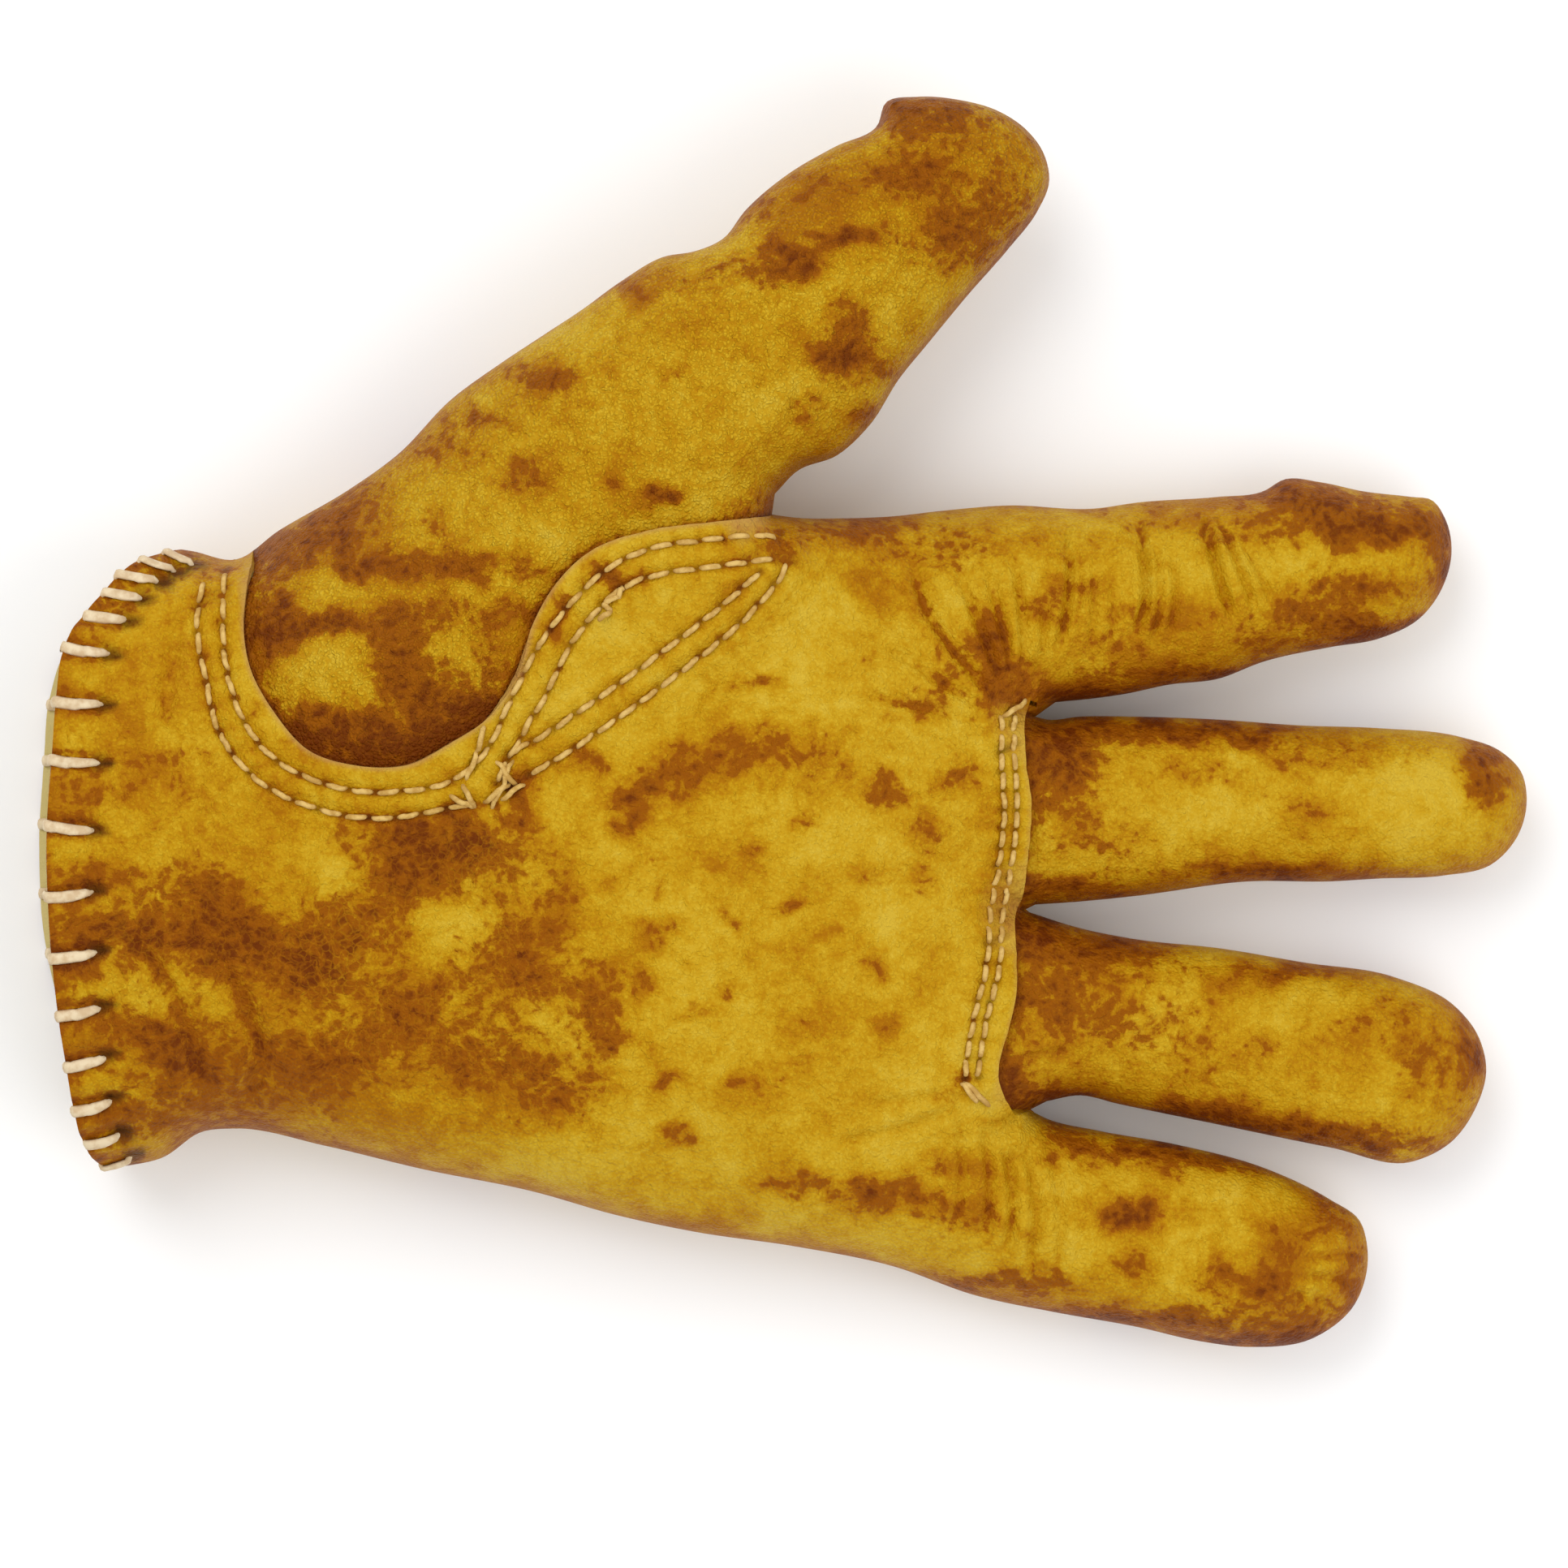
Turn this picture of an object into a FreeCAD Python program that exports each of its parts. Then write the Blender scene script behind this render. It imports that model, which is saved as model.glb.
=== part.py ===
import FreeCAD, Part
import Sketcher
import math
import os

# A left-hand leather work glove, filled as if a hand were in it and lying on its back.
# X runs from the cuff to the fingertips, Y to the thumb's side, Z out of the palm. Millimetres.
# The origin is at the middle of the footprint, on the surface that the glove lies on.

DIMS = {
    "leather": 1.2,
    "below_floor": 0.4,
    "half_gap": 0.15,
    "fold_foot": 1.0,
    "over_hinge": 0.3,
    # hand and cuff: five sections from the hem to the finger roots
    "hem_open": 1.0, "hem_x": -127.6, "hem_y": -23.0, "hem_width": 106.0, "hem_top": 42.0,
    "wrist_x": -99.0, "wrist_y": -20.5, "wrist_width": 98.0, "wrist_top": 36.0,
    "palm_x": -35.0, "palm_y": -23.5, "palm_width": 111.0, "palm_top": 39.0,
    "knuckle_x": 12.0, "knuckle_y": -27.5, "knuckle_width": 124.0, "knuckle_top": 33.0,
    "root_x": 40.5, "root_y": -31.0, "root_width": 136.0, "root_top": 27.0,
    # fingers: the centre of each root, its turn from +X, its length to the tip and its widths
    "index_x": 40.5, "index_y": 20.1, "index_turn": 7.1, "index_length": 75.5,
    "index_width": 33.0, "index_end": 26.0, "index_bend_x": 74.0,
    "middle_x": 41.9, "middle_y": -14.9, "middle_turn": -1.4, "middle_length": 86.6,
    "middle_width": 31.6, "middle_end": 25.0, "middle_bend_x": 82.0,
    "ring_x": 41.2, "ring_y": -49.2, "ring_turn": -8.95, "ring_length": 81.3,
    "ring_width": 31.0, "ring_end": 30.0, "ring_bend_x": 78.0,
    "little_x": 45.4, "little_y": -84.4, "little_turn": -11.3, "little_length": 57.0,
    "little_width": 32.0, "little_end": 27.0, "little_bend_x": 70.0,
    "finger_height": 23.0, "finger_root_depth": 14.0, "strip_height": 8.0,
    # thumb: a tube that starts under the palm's lobe and runs out past the palm's edge
    "thumb_x": -72.0, "thumb_y": 1.3, "thumb_turn": 42.8, "thumb_length": 146.9,
    "thumb_width": 47.0, "thumb_end": 34.0, "thumb_height": 38.0, "thumb_end_height": 25.0,
    "thumb_z": 24.0, "thumb_bend": 86.0, "thumb_tip_bend": 117.0,
    # hinges
    "hinge_z": 12.0, "finger_hinge_x": 47.0, "wrist_hinge_x": -102.0,
    "hand_rise": 32.0, "finger_rise": 13.0, "thumb_rise": 21.0,
    "wrist_tilt": 24.0, "root_tilt": 22.0, "base_tilt": 40.0, "bend_tilt": 38.0,
    "thumb_base_tilt": 24.0, "thumb_tip_tilt": 32.0,
    # small pieces
    "band_x": -97.0, "band_width": 10.0, "band_length": 72.0, "band_depth": 1.0,
    "patch_depth": 1.0, "patch_x": -44.0, "patch_y": -19.0, "patch_turn": 36.0,
    "patch_length": 52.0, "patch_width": 12.0,
    "thread_width": 0.9, "stitch_length": 3.2, "stitch_pitch": 4.5, "row_gap": 4.4,
    "lace_width": 1.8, "lace_depth": 0.9, "lace_reach": 8.4, "lace_pitch": 11.0,
}

FINGERS = ("index", "middle", "ring", "little")
# the sides of each finger that have a strip between front and back: +1 is the thumb's side
STRIPS = {"index": {"inner": -1}, "middle": {"upper": 1, "lower": -1},
          "ring": {"upper": 1, "lower": -1}, "little": {"inner": 1}}

FAR = 180.0                 # past the glove on every side
DEEP = 60.0                 # past the glove above and below
TIP_INSET = 1.5             # how many thicknesses the space inside stops short of a tip
ACROSS = FreeCAD.Rotation(FreeCAD.Vector(1, 1, 1), 120)     # a flat shape's X, Y become Y, Z
UPRIGHT = FreeCAD.Rotation(FreeCAD.Vector(1, 0, 0), 90)     # a wedge's Y becomes Z

doc = FreeCAD.newDocument("glove")
sheet = doc.addObject("Spreadsheet::Sheet", "Dims")
for row, (alias, value) in enumerate(DIMS.items(), start=1):
    sheet.set(f"A{row}", alias)
    sheet.set(f"B{row}", str(value))
    sheet.setAlias(f"B{row}", alias)
doc.recompute()

parts = []


def size(alias):
    """One driving dimension, as a number."""
    return float(sheet.get(alias))


def bind(thing, sizes):
    """Ties a thing's properties to expressions on the sheet."""
    for name, expression in sizes.items():
        thing.setExpression(name, expression)
    return thing


def add(kind, name, sizes=None, rotation=None):
    """A new object whose sizes follow the sheet."""
    thing = doc.addObject(kind, name)
    if rotation:
        thing.Placement = FreeCAD.Placement(FreeCAD.Vector(), rotation)
    return bind(thing, sizes or {})


def placed(thing, x="0", y="0", z="0", turn=None):
    """Puts a thing at a place on the sheet, turned about Z."""
    if turn:
        thing.Placement = FreeCAD.Placement(
            FreeCAD.Vector(), FreeCAD.Rotation(FreeCAD.Vector(0, 0, 1), size(turn)))
        bind(thing, {"Placement.Rotation.Angle": f"Dims.{turn} * 1 deg"})
    return bind(thing, {"Placement.Base.x": x, "Placement.Base.y": y, "Placement.Base.z": z})


def cut(name, base, tool):
    thing = doc.addObject("Part::Cut", name)
    thing.Base = base
    thing.Tool = tool
    return thing


def common(name, *things):
    thing = doc.addObject("Part::MultiCommon", name)
    thing.Shapes = list(things)
    return thing


def fused(name, *things):
    thing = doc.addObject("Part::MultiFuse", name)
    thing.Shapes = list(things)
    return thing


def loft(name, sections):
    thing = doc.addObject("Part::Loft", name)
    thing.Sections = sections
    thing.Solid = True
    thing.Ruled = True
    return thing


def keep(thing, label):
    """Marks a thing as a finished piece of the glove."""
    thing.Label = label
    parts.append(thing)
    return thing


def slab(name, x=(None, None), y=(None, None), z=(None, None), place=None):
    """A box between expressions; a side left as None is far away."""
    spans = []
    for (low, high), far in zip((x, y, z), (FAR, FAR, DEEP)):
        spans.append((low or f"-{far}", high or f"{far}"))
    box = add("Part::Box", name, {
        "Length": f"{spans[0][1]} - ({spans[0][0]})",
        "Width": f"{spans[1][1]} - ({spans[1][0]})",
        "Height": f"{spans[2][1]} - ({spans[2][0]})"})
    bind(box, {"Placement.Base.x": spans[0][0], "Placement.Base.y": spans[1][0],
               "Placement.Base.z": spans[2][0]})
    if place is None:
        return box
    return place(common(name + "_at", box))


def wedge(name, low, high, top_low, top_high, bottom, rise):
    """A prism along Y whose X span goes from low..high at bottom to top_low..top_high."""
    return add("Part::Wedge", name, {
        "Xmin": low, "Xmax": high, "X2min": top_low, "X2max": top_high,
        "Ymin": bottom, "Ymax": f"Dims.hinge_z + {rise}",
        "Zmin": f"-{FAR}", "Z2min": f"-{FAR}", "Zmax": f"{FAR}", "Z2max": f"{FAR}"}, UPRIGHT)


def lean(tilt):
    """How far a leaning end goes along X for each millimetre of height."""
    return f"tan(Dims.{tilt} * 1 deg)" if tilt else "0"


def stretch(name, low, high, low_tilt, high_tilt, limb, lift="0"):
    """The space of one stiff stretch between two hinges, as its upper and its lower half.

    Below the hinges' height the ends are upright. Above it they lean away from the hinges, to
    leave room for the neighbour when it bends. lift raises the height for the thumb.
    """
    rise = f"Dims.{limb}_rise"
    left = f"{low} + Dims.half_gap"
    right = f"{high} - Dims.half_gap"
    upper = wedge(name + "_upper", left, right,
                  f"{left} + {rise} * {lean(low_tilt)}",
                  f"{right} - {rise} * {lean(high_tilt)}", "Dims.hinge_z", rise)
    lower = slab(name + "_lower", x=(left, right), z=(None, "Dims.hinge_z"))
    return [placed(common(half.Name + "_at", half), z=lift) for half in (upper, lower)]


def fold_space(name, hinge, low_tilt, high_tilt, limb, lift="0", meets="low"):
    """The space over one hinge where the leather creases.

    It meets the stretch on the side named by meets, and stays a gap away from the other.
    """
    slim = "2 * Dims.half_gap"
    low_slim, high_slim = ("0", slim) if meets == "low" else (slim, "0")
    edges = []
    for rise in ("Dims.fold_foot", f"Dims.{limb}_rise"):
        edges.append(f"{hinge} - Dims.half_gap - {rise} * {lean(low_tilt)} + {low_slim}")
        edges.append(f"{hinge} + Dims.half_gap + {rise} * {lean(high_tilt)} - {high_slim}")
    upper = wedge(name, *edges, "Dims.hinge_z + Dims.fold_foot", f"Dims.{limb}_rise")
    return placed(common(name + "_at", upper), z=lift)


def thickness(layers):
    """The depth of some layers, as an expression on the sheet."""
    return " + ".join(f"Dims.{layer}" for layer in layers) or "0"


def stadium(name, station, layers):
    """One section of the hand: a flat oval with half-round ends, inset by some layers."""
    sketch = doc.addObject("Sketcher::SketchObject", name)
    sketch.Placement = FreeCAD.Placement(FreeCAD.Vector(), ACROSS)
    inset = sum(size(layer) for layer in layers)
    low = inset if layers else -size("below_floor")
    high = size(station + "_top") - inset
    radius = (high - low) / 2
    middle = (high + low) / 2
    flat = size(station + "_width") / 2 - inset - radius
    left = FreeCAD.Vector(-flat, middle, 0)
    right = FreeCAD.Vector(flat, middle, 0)
    normal = FreeCAD.Vector(0, 0, 1)
    quarter = math.pi / 2
    sketch.addGeometry(Part.LineSegment(FreeCAD.Vector(-flat, low, 0), FreeCAD.Vector(flat, low, 0)))
    sketch.addGeometry(Part.ArcOfCircle(Part.Circle(right, normal, radius), -quarter, quarter))
    sketch.addGeometry(Part.LineSegment(FreeCAD.Vector(flat, high, 0), FreeCAD.Vector(-flat, high, 0)))
    sketch.addGeometry(Part.ArcOfCircle(Part.Circle(left, normal, radius), quarter, 3 * quarter))
    joins = ((0, 2, 1, 1), (1, 2, 2, 1), (2, 2, 3, 1), (3, 2, 0, 1))
    for ends in joins:
        sketch.addConstraint(Sketcher.Constraint("Coincident", *ends))
    for arc in (1, 3):
        for end in (1, 2):
            sketch.addConstraint(Sketcher.Constraint("Vertical", arc, end, arc, 3))
    depth = thickness(layers)
    base = depth if layers else "-Dims.below_floor"
    half = f"(Dims.{station}_top - ({depth}) - ({base})) / 2"
    centre = f"(Dims.{station}_top - ({depth}) + ({base})) / 2"
    length = f"Dims.{station}_width / 2 - ({depth}) - {half}"
    rules = (
        ("reach_right", Sketcher.Constraint("DistanceX", -1, 1, 1, 3, flat), length),
        ("reach_left", Sketcher.Constraint("DistanceX", 3, 3, -1, 1, flat), length),
        ("height_right", Sketcher.Constraint("DistanceY", -1, 1, 1, 3, middle), centre),
        ("height_left", Sketcher.Constraint("DistanceY", -1, 1, 3, 3, middle), centre),
        ("round_right", Sketcher.Constraint("Radius", 1, radius), half),
        ("round_left", Sketcher.Constraint("Radius", 3, radius), half))
    for title, rule, expression in rules:
        number = sketch.addConstraint(rule)
        sketch.renameConstraint(number, title)
        sketch.setExpression(f"Constraints.{title}", expression)
    return sketch


def hand_solid(name, layers):
    """The whole hand and cuff without its fingers; with layers it is the space inside them."""
    sections = []
    stations = ("hem", "wrist", "palm", "knuckle", "root")
    for station in stations:
        section = stadium(f"{name}_{station}", station, layers)
        shift = ""
        if layers and station == "hem":
            shift = " - Dims.hem_open"
        if layers and station == "root":
            shift = f" - ({thickness(layers)})"
        placed_at = {"Placement.Base.x": f"Dims.{station}_x{shift}",
                     "Placement.Base.y": f"Dims.{station}_y"}
        sections.append(bind(section, placed_at))
    return loft(name, sections)


def tube(name, stem, rows, inset):
    """A round-ended tube along +X from rows of (place, width, height)."""
    sections = []
    for number, (along, wide, tall) in enumerate(rows):
        rim = "Dims.leather" if inset else "0"
        end = f" - {TIP_INSET} * {rim}" if number == len(rows) - 1 else ""
        sections.append(add("Part::Ellipse", f"{name}_{number}", {
            "MajorRadius": f"({wide}) / 2 - {rim}",
            "MinorRadius": f"({tall}) / 2 - {rim}",
            "Placement.Base.x": f"({along}){end}"}, ACROSS))
    body = loft(name, sections)
    if stem == "thumb":
        return placed(body, "Dims.thumb_x", "Dims.thumb_y", "Dims.thumb_z + Dims.over_hinge",
                      "thumb_turn")
    return placed(body, f"Dims.{stem}_x", f"Dims.{stem}_y", "Dims.hinge_z + Dims.over_hinge",
                  f"{stem}_turn")


def finger_rows(stem):
    """A finger's sections: it tapers evenly, then rounds off over its last fifth."""
    long, wide, end = f"Dims.{stem}_length", f"Dims.{stem}_width", f"Dims.{stem}_end"
    tall = "Dims.finger_height"
    return (("-Dims.finger_root_depth", wide, tall),
            (f"0.45 * {long}", f"({wide} + {end}) / 2", tall),
            (f"0.8 * {long}", end, f"0.96 * {tall}"),
            (f"0.92 * {long}", f"0.83 * {end}", f"0.81 * {tall}"),
            (f"0.98 * {long}", f"0.54 * {end}", f"0.54 * {tall}"),
            (long, f"0.3 * {end}", f"0.3 * {tall}"))


def thumb_rows():
    """The thumb's sections: a domed start inside the palm, then an even taper to the tip."""
    long, wide, end = "Dims.thumb_length", "Dims.thumb_width", "Dims.thumb_end"
    tall, slim = "Dims.thumb_height", "Dims.thumb_end_height"
    return (("0", f"0.5 * {wide}", f"0.5 * {tall}"),
            (f"0.06 * {long}", f"0.85 * {wide}", f"0.86 * {tall}"),
            (f"0.2 * {long}", wide, tall),
            (f"0.5 * {long}", f"0.93 * {wide}", f"0.9 * {tall}"),
            (f"0.8 * {long}", end, f"1.1 * {slim}"),
            (f"0.93 * {long}", f"0.84 * {end}", f"0.84 * {slim}"),
            (f"0.985 * {long}", f"0.55 * {end}", f"0.55 * {slim}"),
            (long, f"0.3 * {end}", f"0.3 * {slim}"))


def thumb_frame(thing):
    """Moves something made along the thumb's own axis to where the thumb is."""
    return placed(thing, "Dims.thumb_x", "Dims.thumb_y", "0", "thumb_turn")


def make_hand(solids):
    """Palm and back with the finger roots, open where the thumb comes through."""
    outer, inner = solids["hand_outer"], solids["hand_inner"]
    whole = fused("glove_outer", outer, *[solids[f + "_outer"] for f in FINGERS])
    space = fused("glove_inner", inner, *[solids[f + "_inner"] for f in FINGERS])
    on_floor = common("glove_on_floor", whole, slab("above_floor", z=("0", None)))
    shell = cut("glove_shell", on_floor, space)
    hollow = cut("glove_with_thumb_hole", shell, solids["thumb_inner"])
    upper, lower = stretch("hand_stretch", "Dims.wrist_hinge_x", "Dims.finger_hinge_x",
                           "wrist_tilt", "root_tilt", "hand")
    keep(common("palm", hollow, upper), "palm_panel")
    keep(common("back", hollow, lower), "back_panel")
    return shell


def make_cuff(solids, shell):
    """The cuff beyond the wrist, as a palm side and a back side, and the wrist's crease."""
    upper, lower = stretch("cuff_stretch", f"-{FAR}", "Dims.wrist_hinge_x", None, "wrist_tilt",
                           "hand")
    keep(common("cuff_top", shell, upper), "cuff_front")
    keep(common("cuff_bottom", shell, lower), "cuff_back")
    crease = fold_space("wrist_space", "Dims.wrist_hinge_x", "wrist_tilt", "wrist_tilt", "hand",
                        meets="high")
    keep(common("wrist_crease", shell, crease), "wrist_fold")


def make_finger(stem, solids):
    """One finger: a base and a tip, each with front, back and side strips, and two creases."""
    shell = cut(stem + "_shell", solids[stem + "_outer"], solids[stem + "_inner"])
    bend = f"Dims.{stem}_bend_x"
    spaces = {
        "base": stretch(stem + "_base_stretch", "Dims.finger_hinge_x", bend, "base_tilt",
                        "bend_tilt", "finger"),
        "tip": stretch(stem + "_tip_stretch", bend, f"{FAR}", "bend_tilt", None, "finger")}

    def at_finger(thing):
        return placed(thing, f"Dims.{stem}_x", f"Dims.{stem}_y", "0", f"{stem}_turn")

    bands = {}
    for side, sign in STRIPS[stem].items():
        bands[side] = slab(f"{stem}_{side}_band", y=("0", None) if sign > 0 else (None, "0"),
                           z=("Dims.hinge_z - Dims.strip_height / 2",
                              "Dims.hinge_z + Dims.strip_height / 2"), place=at_finger)
    for end, halves in spaces.items():
        wholes = []
        for face, half in zip(("front", "back"), halves):
            whole = common(f"{stem}_{end}_{face}_whole", shell, half)
            wholes.append(whole)
            piece = whole
            for side, band in bands.items():
                piece = cut(f"{stem}_{end}_{face}_less_{side}", piece, band)
            keep(piece, f"{stem}_{end}_{face}")
        for side, band in bands.items():
            halves = [common(f"{whole.Name}_{side}", whole, band) for whole in wholes]
            keep(fused(f"{stem}_{end}_{side}_strip", *halves), f"{stem}_{end}_fourchette_{side}")
    root = fold_space(stem + "_root_space", "Dims.finger_hinge_x", "root_tilt", "base_tilt",
                      "finger")
    crease = common(stem + "_root_crease", shell, root)
    keep(cut(stem + "_root_fold_part", crease, solids["hand_outer"]), f"{stem}_base_fold")
    middle = fold_space(stem + "_bend_space", bend, "bend_tilt", "bend_tilt", "finger")
    keep(common(stem + "_bend_fold_part", shell, middle), f"{stem}_bend_fold")


def make_thumb(solids):
    """The lobe in the palm, then the thumb's base and tip, each as a front and a back."""
    shell = cut("thumb_shell", solids["thumb_outer"], solids["thumb_inner"])
    lift = "Dims.thumb_z - Dims.hinge_z"
    spaces = {
        "root": (f"-{FAR}", "Dims.thumb_bend", None, "thumb_base_tilt"),
        "base": ("Dims.thumb_bend", "Dims.thumb_tip_bend", "thumb_base_tilt", "thumb_tip_tilt"),
        "tip": ("Dims.thumb_tip_bend", f"{FAR}", "thumb_tip_tilt", None)}
    for end, limits in spaces.items():
        halves = stretch(f"thumb_{end}_stretch", *limits, "thumb", lift)
        spaces[end] = [thumb_frame(common(half.Name + "_turned", half)) for half in halves]
    outside = cut("thumb_outside", shell, solids["hand_outer"])
    lobe = common("thumb_lobe_whole", outside, fused("thumb_root_both", *spaces["root"]))
    keep(cut("thumb_lobe_part", lobe, solids["wrist_side"]), "thumb_lobe")
    for end in ("base", "tip"):
        for face, half in zip(("front", "back"), spaces[end]):
            keep(common(f"thumb_{end}_{face}_part", shell, half), f"thumb_{end}_{face}")
    for end, hinge, tilt in (("base", "Dims.thumb_bend", "thumb_base_tilt"),
                             ("tip", "Dims.thumb_tip_bend", "thumb_tip_tilt")):
        space = thumb_frame(common(f"thumb_{end}_space_at", fold_space(
            f"thumb_{end}_space", hinge, tilt, tilt, "thumb", lift)))
        keep(common(f"thumb_{end}_crease", shell, space), f"thumb_{end}_fold")


def make_lining(solids):
    """The patch sewn under the palm beside the thumb, and the band that gathers the wrist."""
    deeper = hand_solid("hand_lining", ("leather", "patch_depth"))
    ring = cut("lining_ring", solids["hand_inner"], deeper)
    spot = placed(common("patch_at", add("Part::Box", "patch_box", {
        "Length": "Dims.patch_length", "Width": "Dims.patch_width", "Height": f"{FAR}"})),
        "Dims.patch_x", "Dims.patch_y", "Dims.hinge_z + Dims.strip_height / 2", "patch_turn")
    patch = common("patch_piece", ring, spot)
    keep(cut("patch_part", patch, solids["thumb_outer"]), "palm_patch")
    keep(add("Part::Box", "band_part", {
        "Length": "Dims.band_width", "Width": "Dims.band_length", "Height": "Dims.band_depth",
        "Placement.Base.x": "Dims.band_x",
        "Placement.Base.y": "Dims.wrist_y - Dims.band_length / 2",
        "Placement.Base.z": "Dims.leather"}), "wrist_elastic")


def point_row(points, pitch, shift=0.0):
    """Evenly spaced places and headings along a smooth curve through the points."""
    curve = Part.BSplineCurve()
    curve.interpolate([FreeCAD.Vector(x, y, 0) for x, y in points])
    edge = curve.toShape()
    count = int(edge.Length / pitch)
    row = []
    for number in range(count):
        at = edge.getParameterByLength((number + 0.5) * edge.Length / count)
        heading = edge.tangentAt(at)
        aside = FreeCAD.Vector(heading.y, -heading.x, 0)
        row.append((edge.valueAt(at) + aside * shift, heading))
    return row


def stitches(label, rows, surface):
    """A group of thread stitches that lie along rows on top of a solid."""
    radius = size("thread_width") / 2
    length = size("stitch_length")
    pieces = []
    for spot, heading in rows:
        drop = Part.makeLine(spot + FreeCAD.Vector(0, 0, FAR),
                             spot + FreeCAD.Vector(0, 0, size("hinge_z")))
        top = surface.Shape.common(drop).BoundBox.ZMax
        start = FreeCAD.Vector(spot.x, spot.y, top) - heading * (length / 2)
        pieces.append(Part.makeCylinder(radius, length, start, heading))
    group = doc.addObject("Part::Feature", label + "_part")
    group.Shape = Part.makeCompound(pieces)
    keep(group, label)


def make_stitches(solids):
    """Two rows round the thumb's lobe, two across the palm and two at the finger roots."""
    pitch, gap = size("stitch_pitch"), size("row_gap")
    lobe = ((-96, 22), (-94, 2), (-85, -7.5), (-71, -11.5), (-58, -10),
            (-49, 0), (-42, 14), (-33, 24.5), (-22, 30), (-5, 31))
    outer = point_row(lobe, pitch)
    rows = outer + point_row(lobe, pitch, gap)
    stitches("thumb_seam_stitches", rows, solids["hand_outer"])
    patch = ((-9, 22.5), (-26, 11.5), (-40, 1.5))
    stitches("patch_seam_stitches", point_row(patch, pitch) + point_row(patch, pitch, -gap),
             solids["hand_outer"])
    fingers = ((37, 1), (37, -12), (35.7, -29), (33.3, -45), (30.5, -61))
    stitches("finger_seam_stitches", point_row(fingers, pitch) + point_row(fingers, pitch, -gap / 2),
             solids["hand_outer"])


def make_lace():
    """Whip stitches of flat lace round the hem: each is a clip over the edge."""
    wide, depth, reach = size("lace_width"), size("lace_depth"), size("lace_reach")
    leather = size("leather")
    low, high = 0.0, size("hem_top")
    radius = (high - low) / 2
    flat = size("hem_width") / 2 - radius
    middle = FreeCAD.Vector(size("hem_x"), size("hem_y"), (low + high) / 2)
    straight, bend = 2 * flat, math.pi * radius
    count = int(2 * (straight + bend) / size("lace_pitch"))
    pieces = []
    for number in range(count):
        along = (number + 0.5) * 2 * (straight + bend) / count
        on_top = along < straight + bend
        part = along if on_top else along - straight - bend
        turn = 0.0
        across = part - straight / 2
        if part > straight:
            turn = math.degrees((part - straight) / radius)
            across = straight / 2
        clip = Part.makeBox(reach + depth, wide, leather + 2 * depth,
                            FreeCAD.Vector(-depth, -wide / 2, -leather - depth))
        slot = Part.makeBox(reach, wide, leather, FreeCAD.Vector(0, -wide / 2, -leather))
        loop = clip.cut(slot)
        loop.translate(FreeCAD.Vector(0, 0, radius))
        loop.rotate(FreeCAD.Vector(), FreeCAD.Vector(1, 0, 0), -turn)
        loop.translate(FreeCAD.Vector(0, across, 0))
        if not on_top:
            loop.rotate(FreeCAD.Vector(), FreeCAD.Vector(1, 0, 0), 180)
        loop.translate(middle)
        if loop.BoundBox.ZMin < 0:
            loop = loop.common(Part.makeBox(FAR, FAR, FAR, FreeCAD.Vector(-FAR, -FAR / 2, 0)))
        pieces.append(loop)
    group = doc.addObject("Part::Feature", "hem_lace_part")
    group.Shape = Part.makeCompound(pieces)
    keep(group, "hem_lace")


def build():
    """Makes every sub-part of the glove."""
    solids = {"hand_outer": hand_solid("hand_outer", ()),
              "hand_inner": hand_solid("hand_inner", ("leather",))}
    for stem in FINGERS:
        solids[stem + "_outer"] = tube(stem + "_outer", stem, finger_rows(stem), False)
        solids[stem + "_inner"] = tube(stem + "_inner", stem, finger_rows(stem), True)
    solids["thumb_outer"] = tube("thumb_outer", "thumb", thumb_rows(), False)
    solids["thumb_inner"] = tube("thumb_inner", "thumb", thumb_rows(), True)
    solids["wrist_side"] = wedge(
        "wrist_side", f"-{FAR}", "Dims.wrist_hinge_x", f"-{FAR}",
        f"Dims.wrist_hinge_x + Dims.hand_rise * {lean('wrist_tilt')}", "Dims.hinge_z",
        "Dims.hand_rise")
    shell = make_hand(solids)
    make_cuff(solids, shell)
    for stem in FINGERS:
        make_finger(stem, solids)
    make_thumb(solids)
    make_lining(solids)
    doc.recompute()
    make_stitches(solids)
    make_lace()
    doc.recompute()


def export():
    """Stops at any failed object, then writes one STEP file for each sub-part."""
    for thing in doc.Objects:
        if "Invalid" in thing.State or "Error" in thing.State:
            raise RuntimeError(f"{thing.Name}: {thing.State}")
    empty = [thing.Label for thing in parts
             if thing.Shape.isNull() or not thing.Shape.isValid() or not thing.Shape.Solids]
    if empty:
        raise RuntimeError(f"no valid solid: {empty}")
    os.makedirs("parts", exist_ok=True)
    for thing in parts:
        thing.Shape.exportStep(f"parts/{thing.Label}.step")
        box = thing.Shape.BoundBox
        print(f"{thing.Label:32s} solids {len(thing.Shape.Solids):3d} volume {thing.Shape.Volume:9.1f}"
              f" x {box.XMin:7.1f} {box.XMax:7.1f} y {box.YMin:7.1f} {box.YMax:7.1f}"
              f" z {box.ZMin:6.2f} {box.ZMax:6.2f}")


build()
export()
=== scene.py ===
import math

import bpy
import numpy as np
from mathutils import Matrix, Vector
from mathutils.bvhtree import BVHTree
from mathutils.geometry import delaunay_2d_cdt


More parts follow.
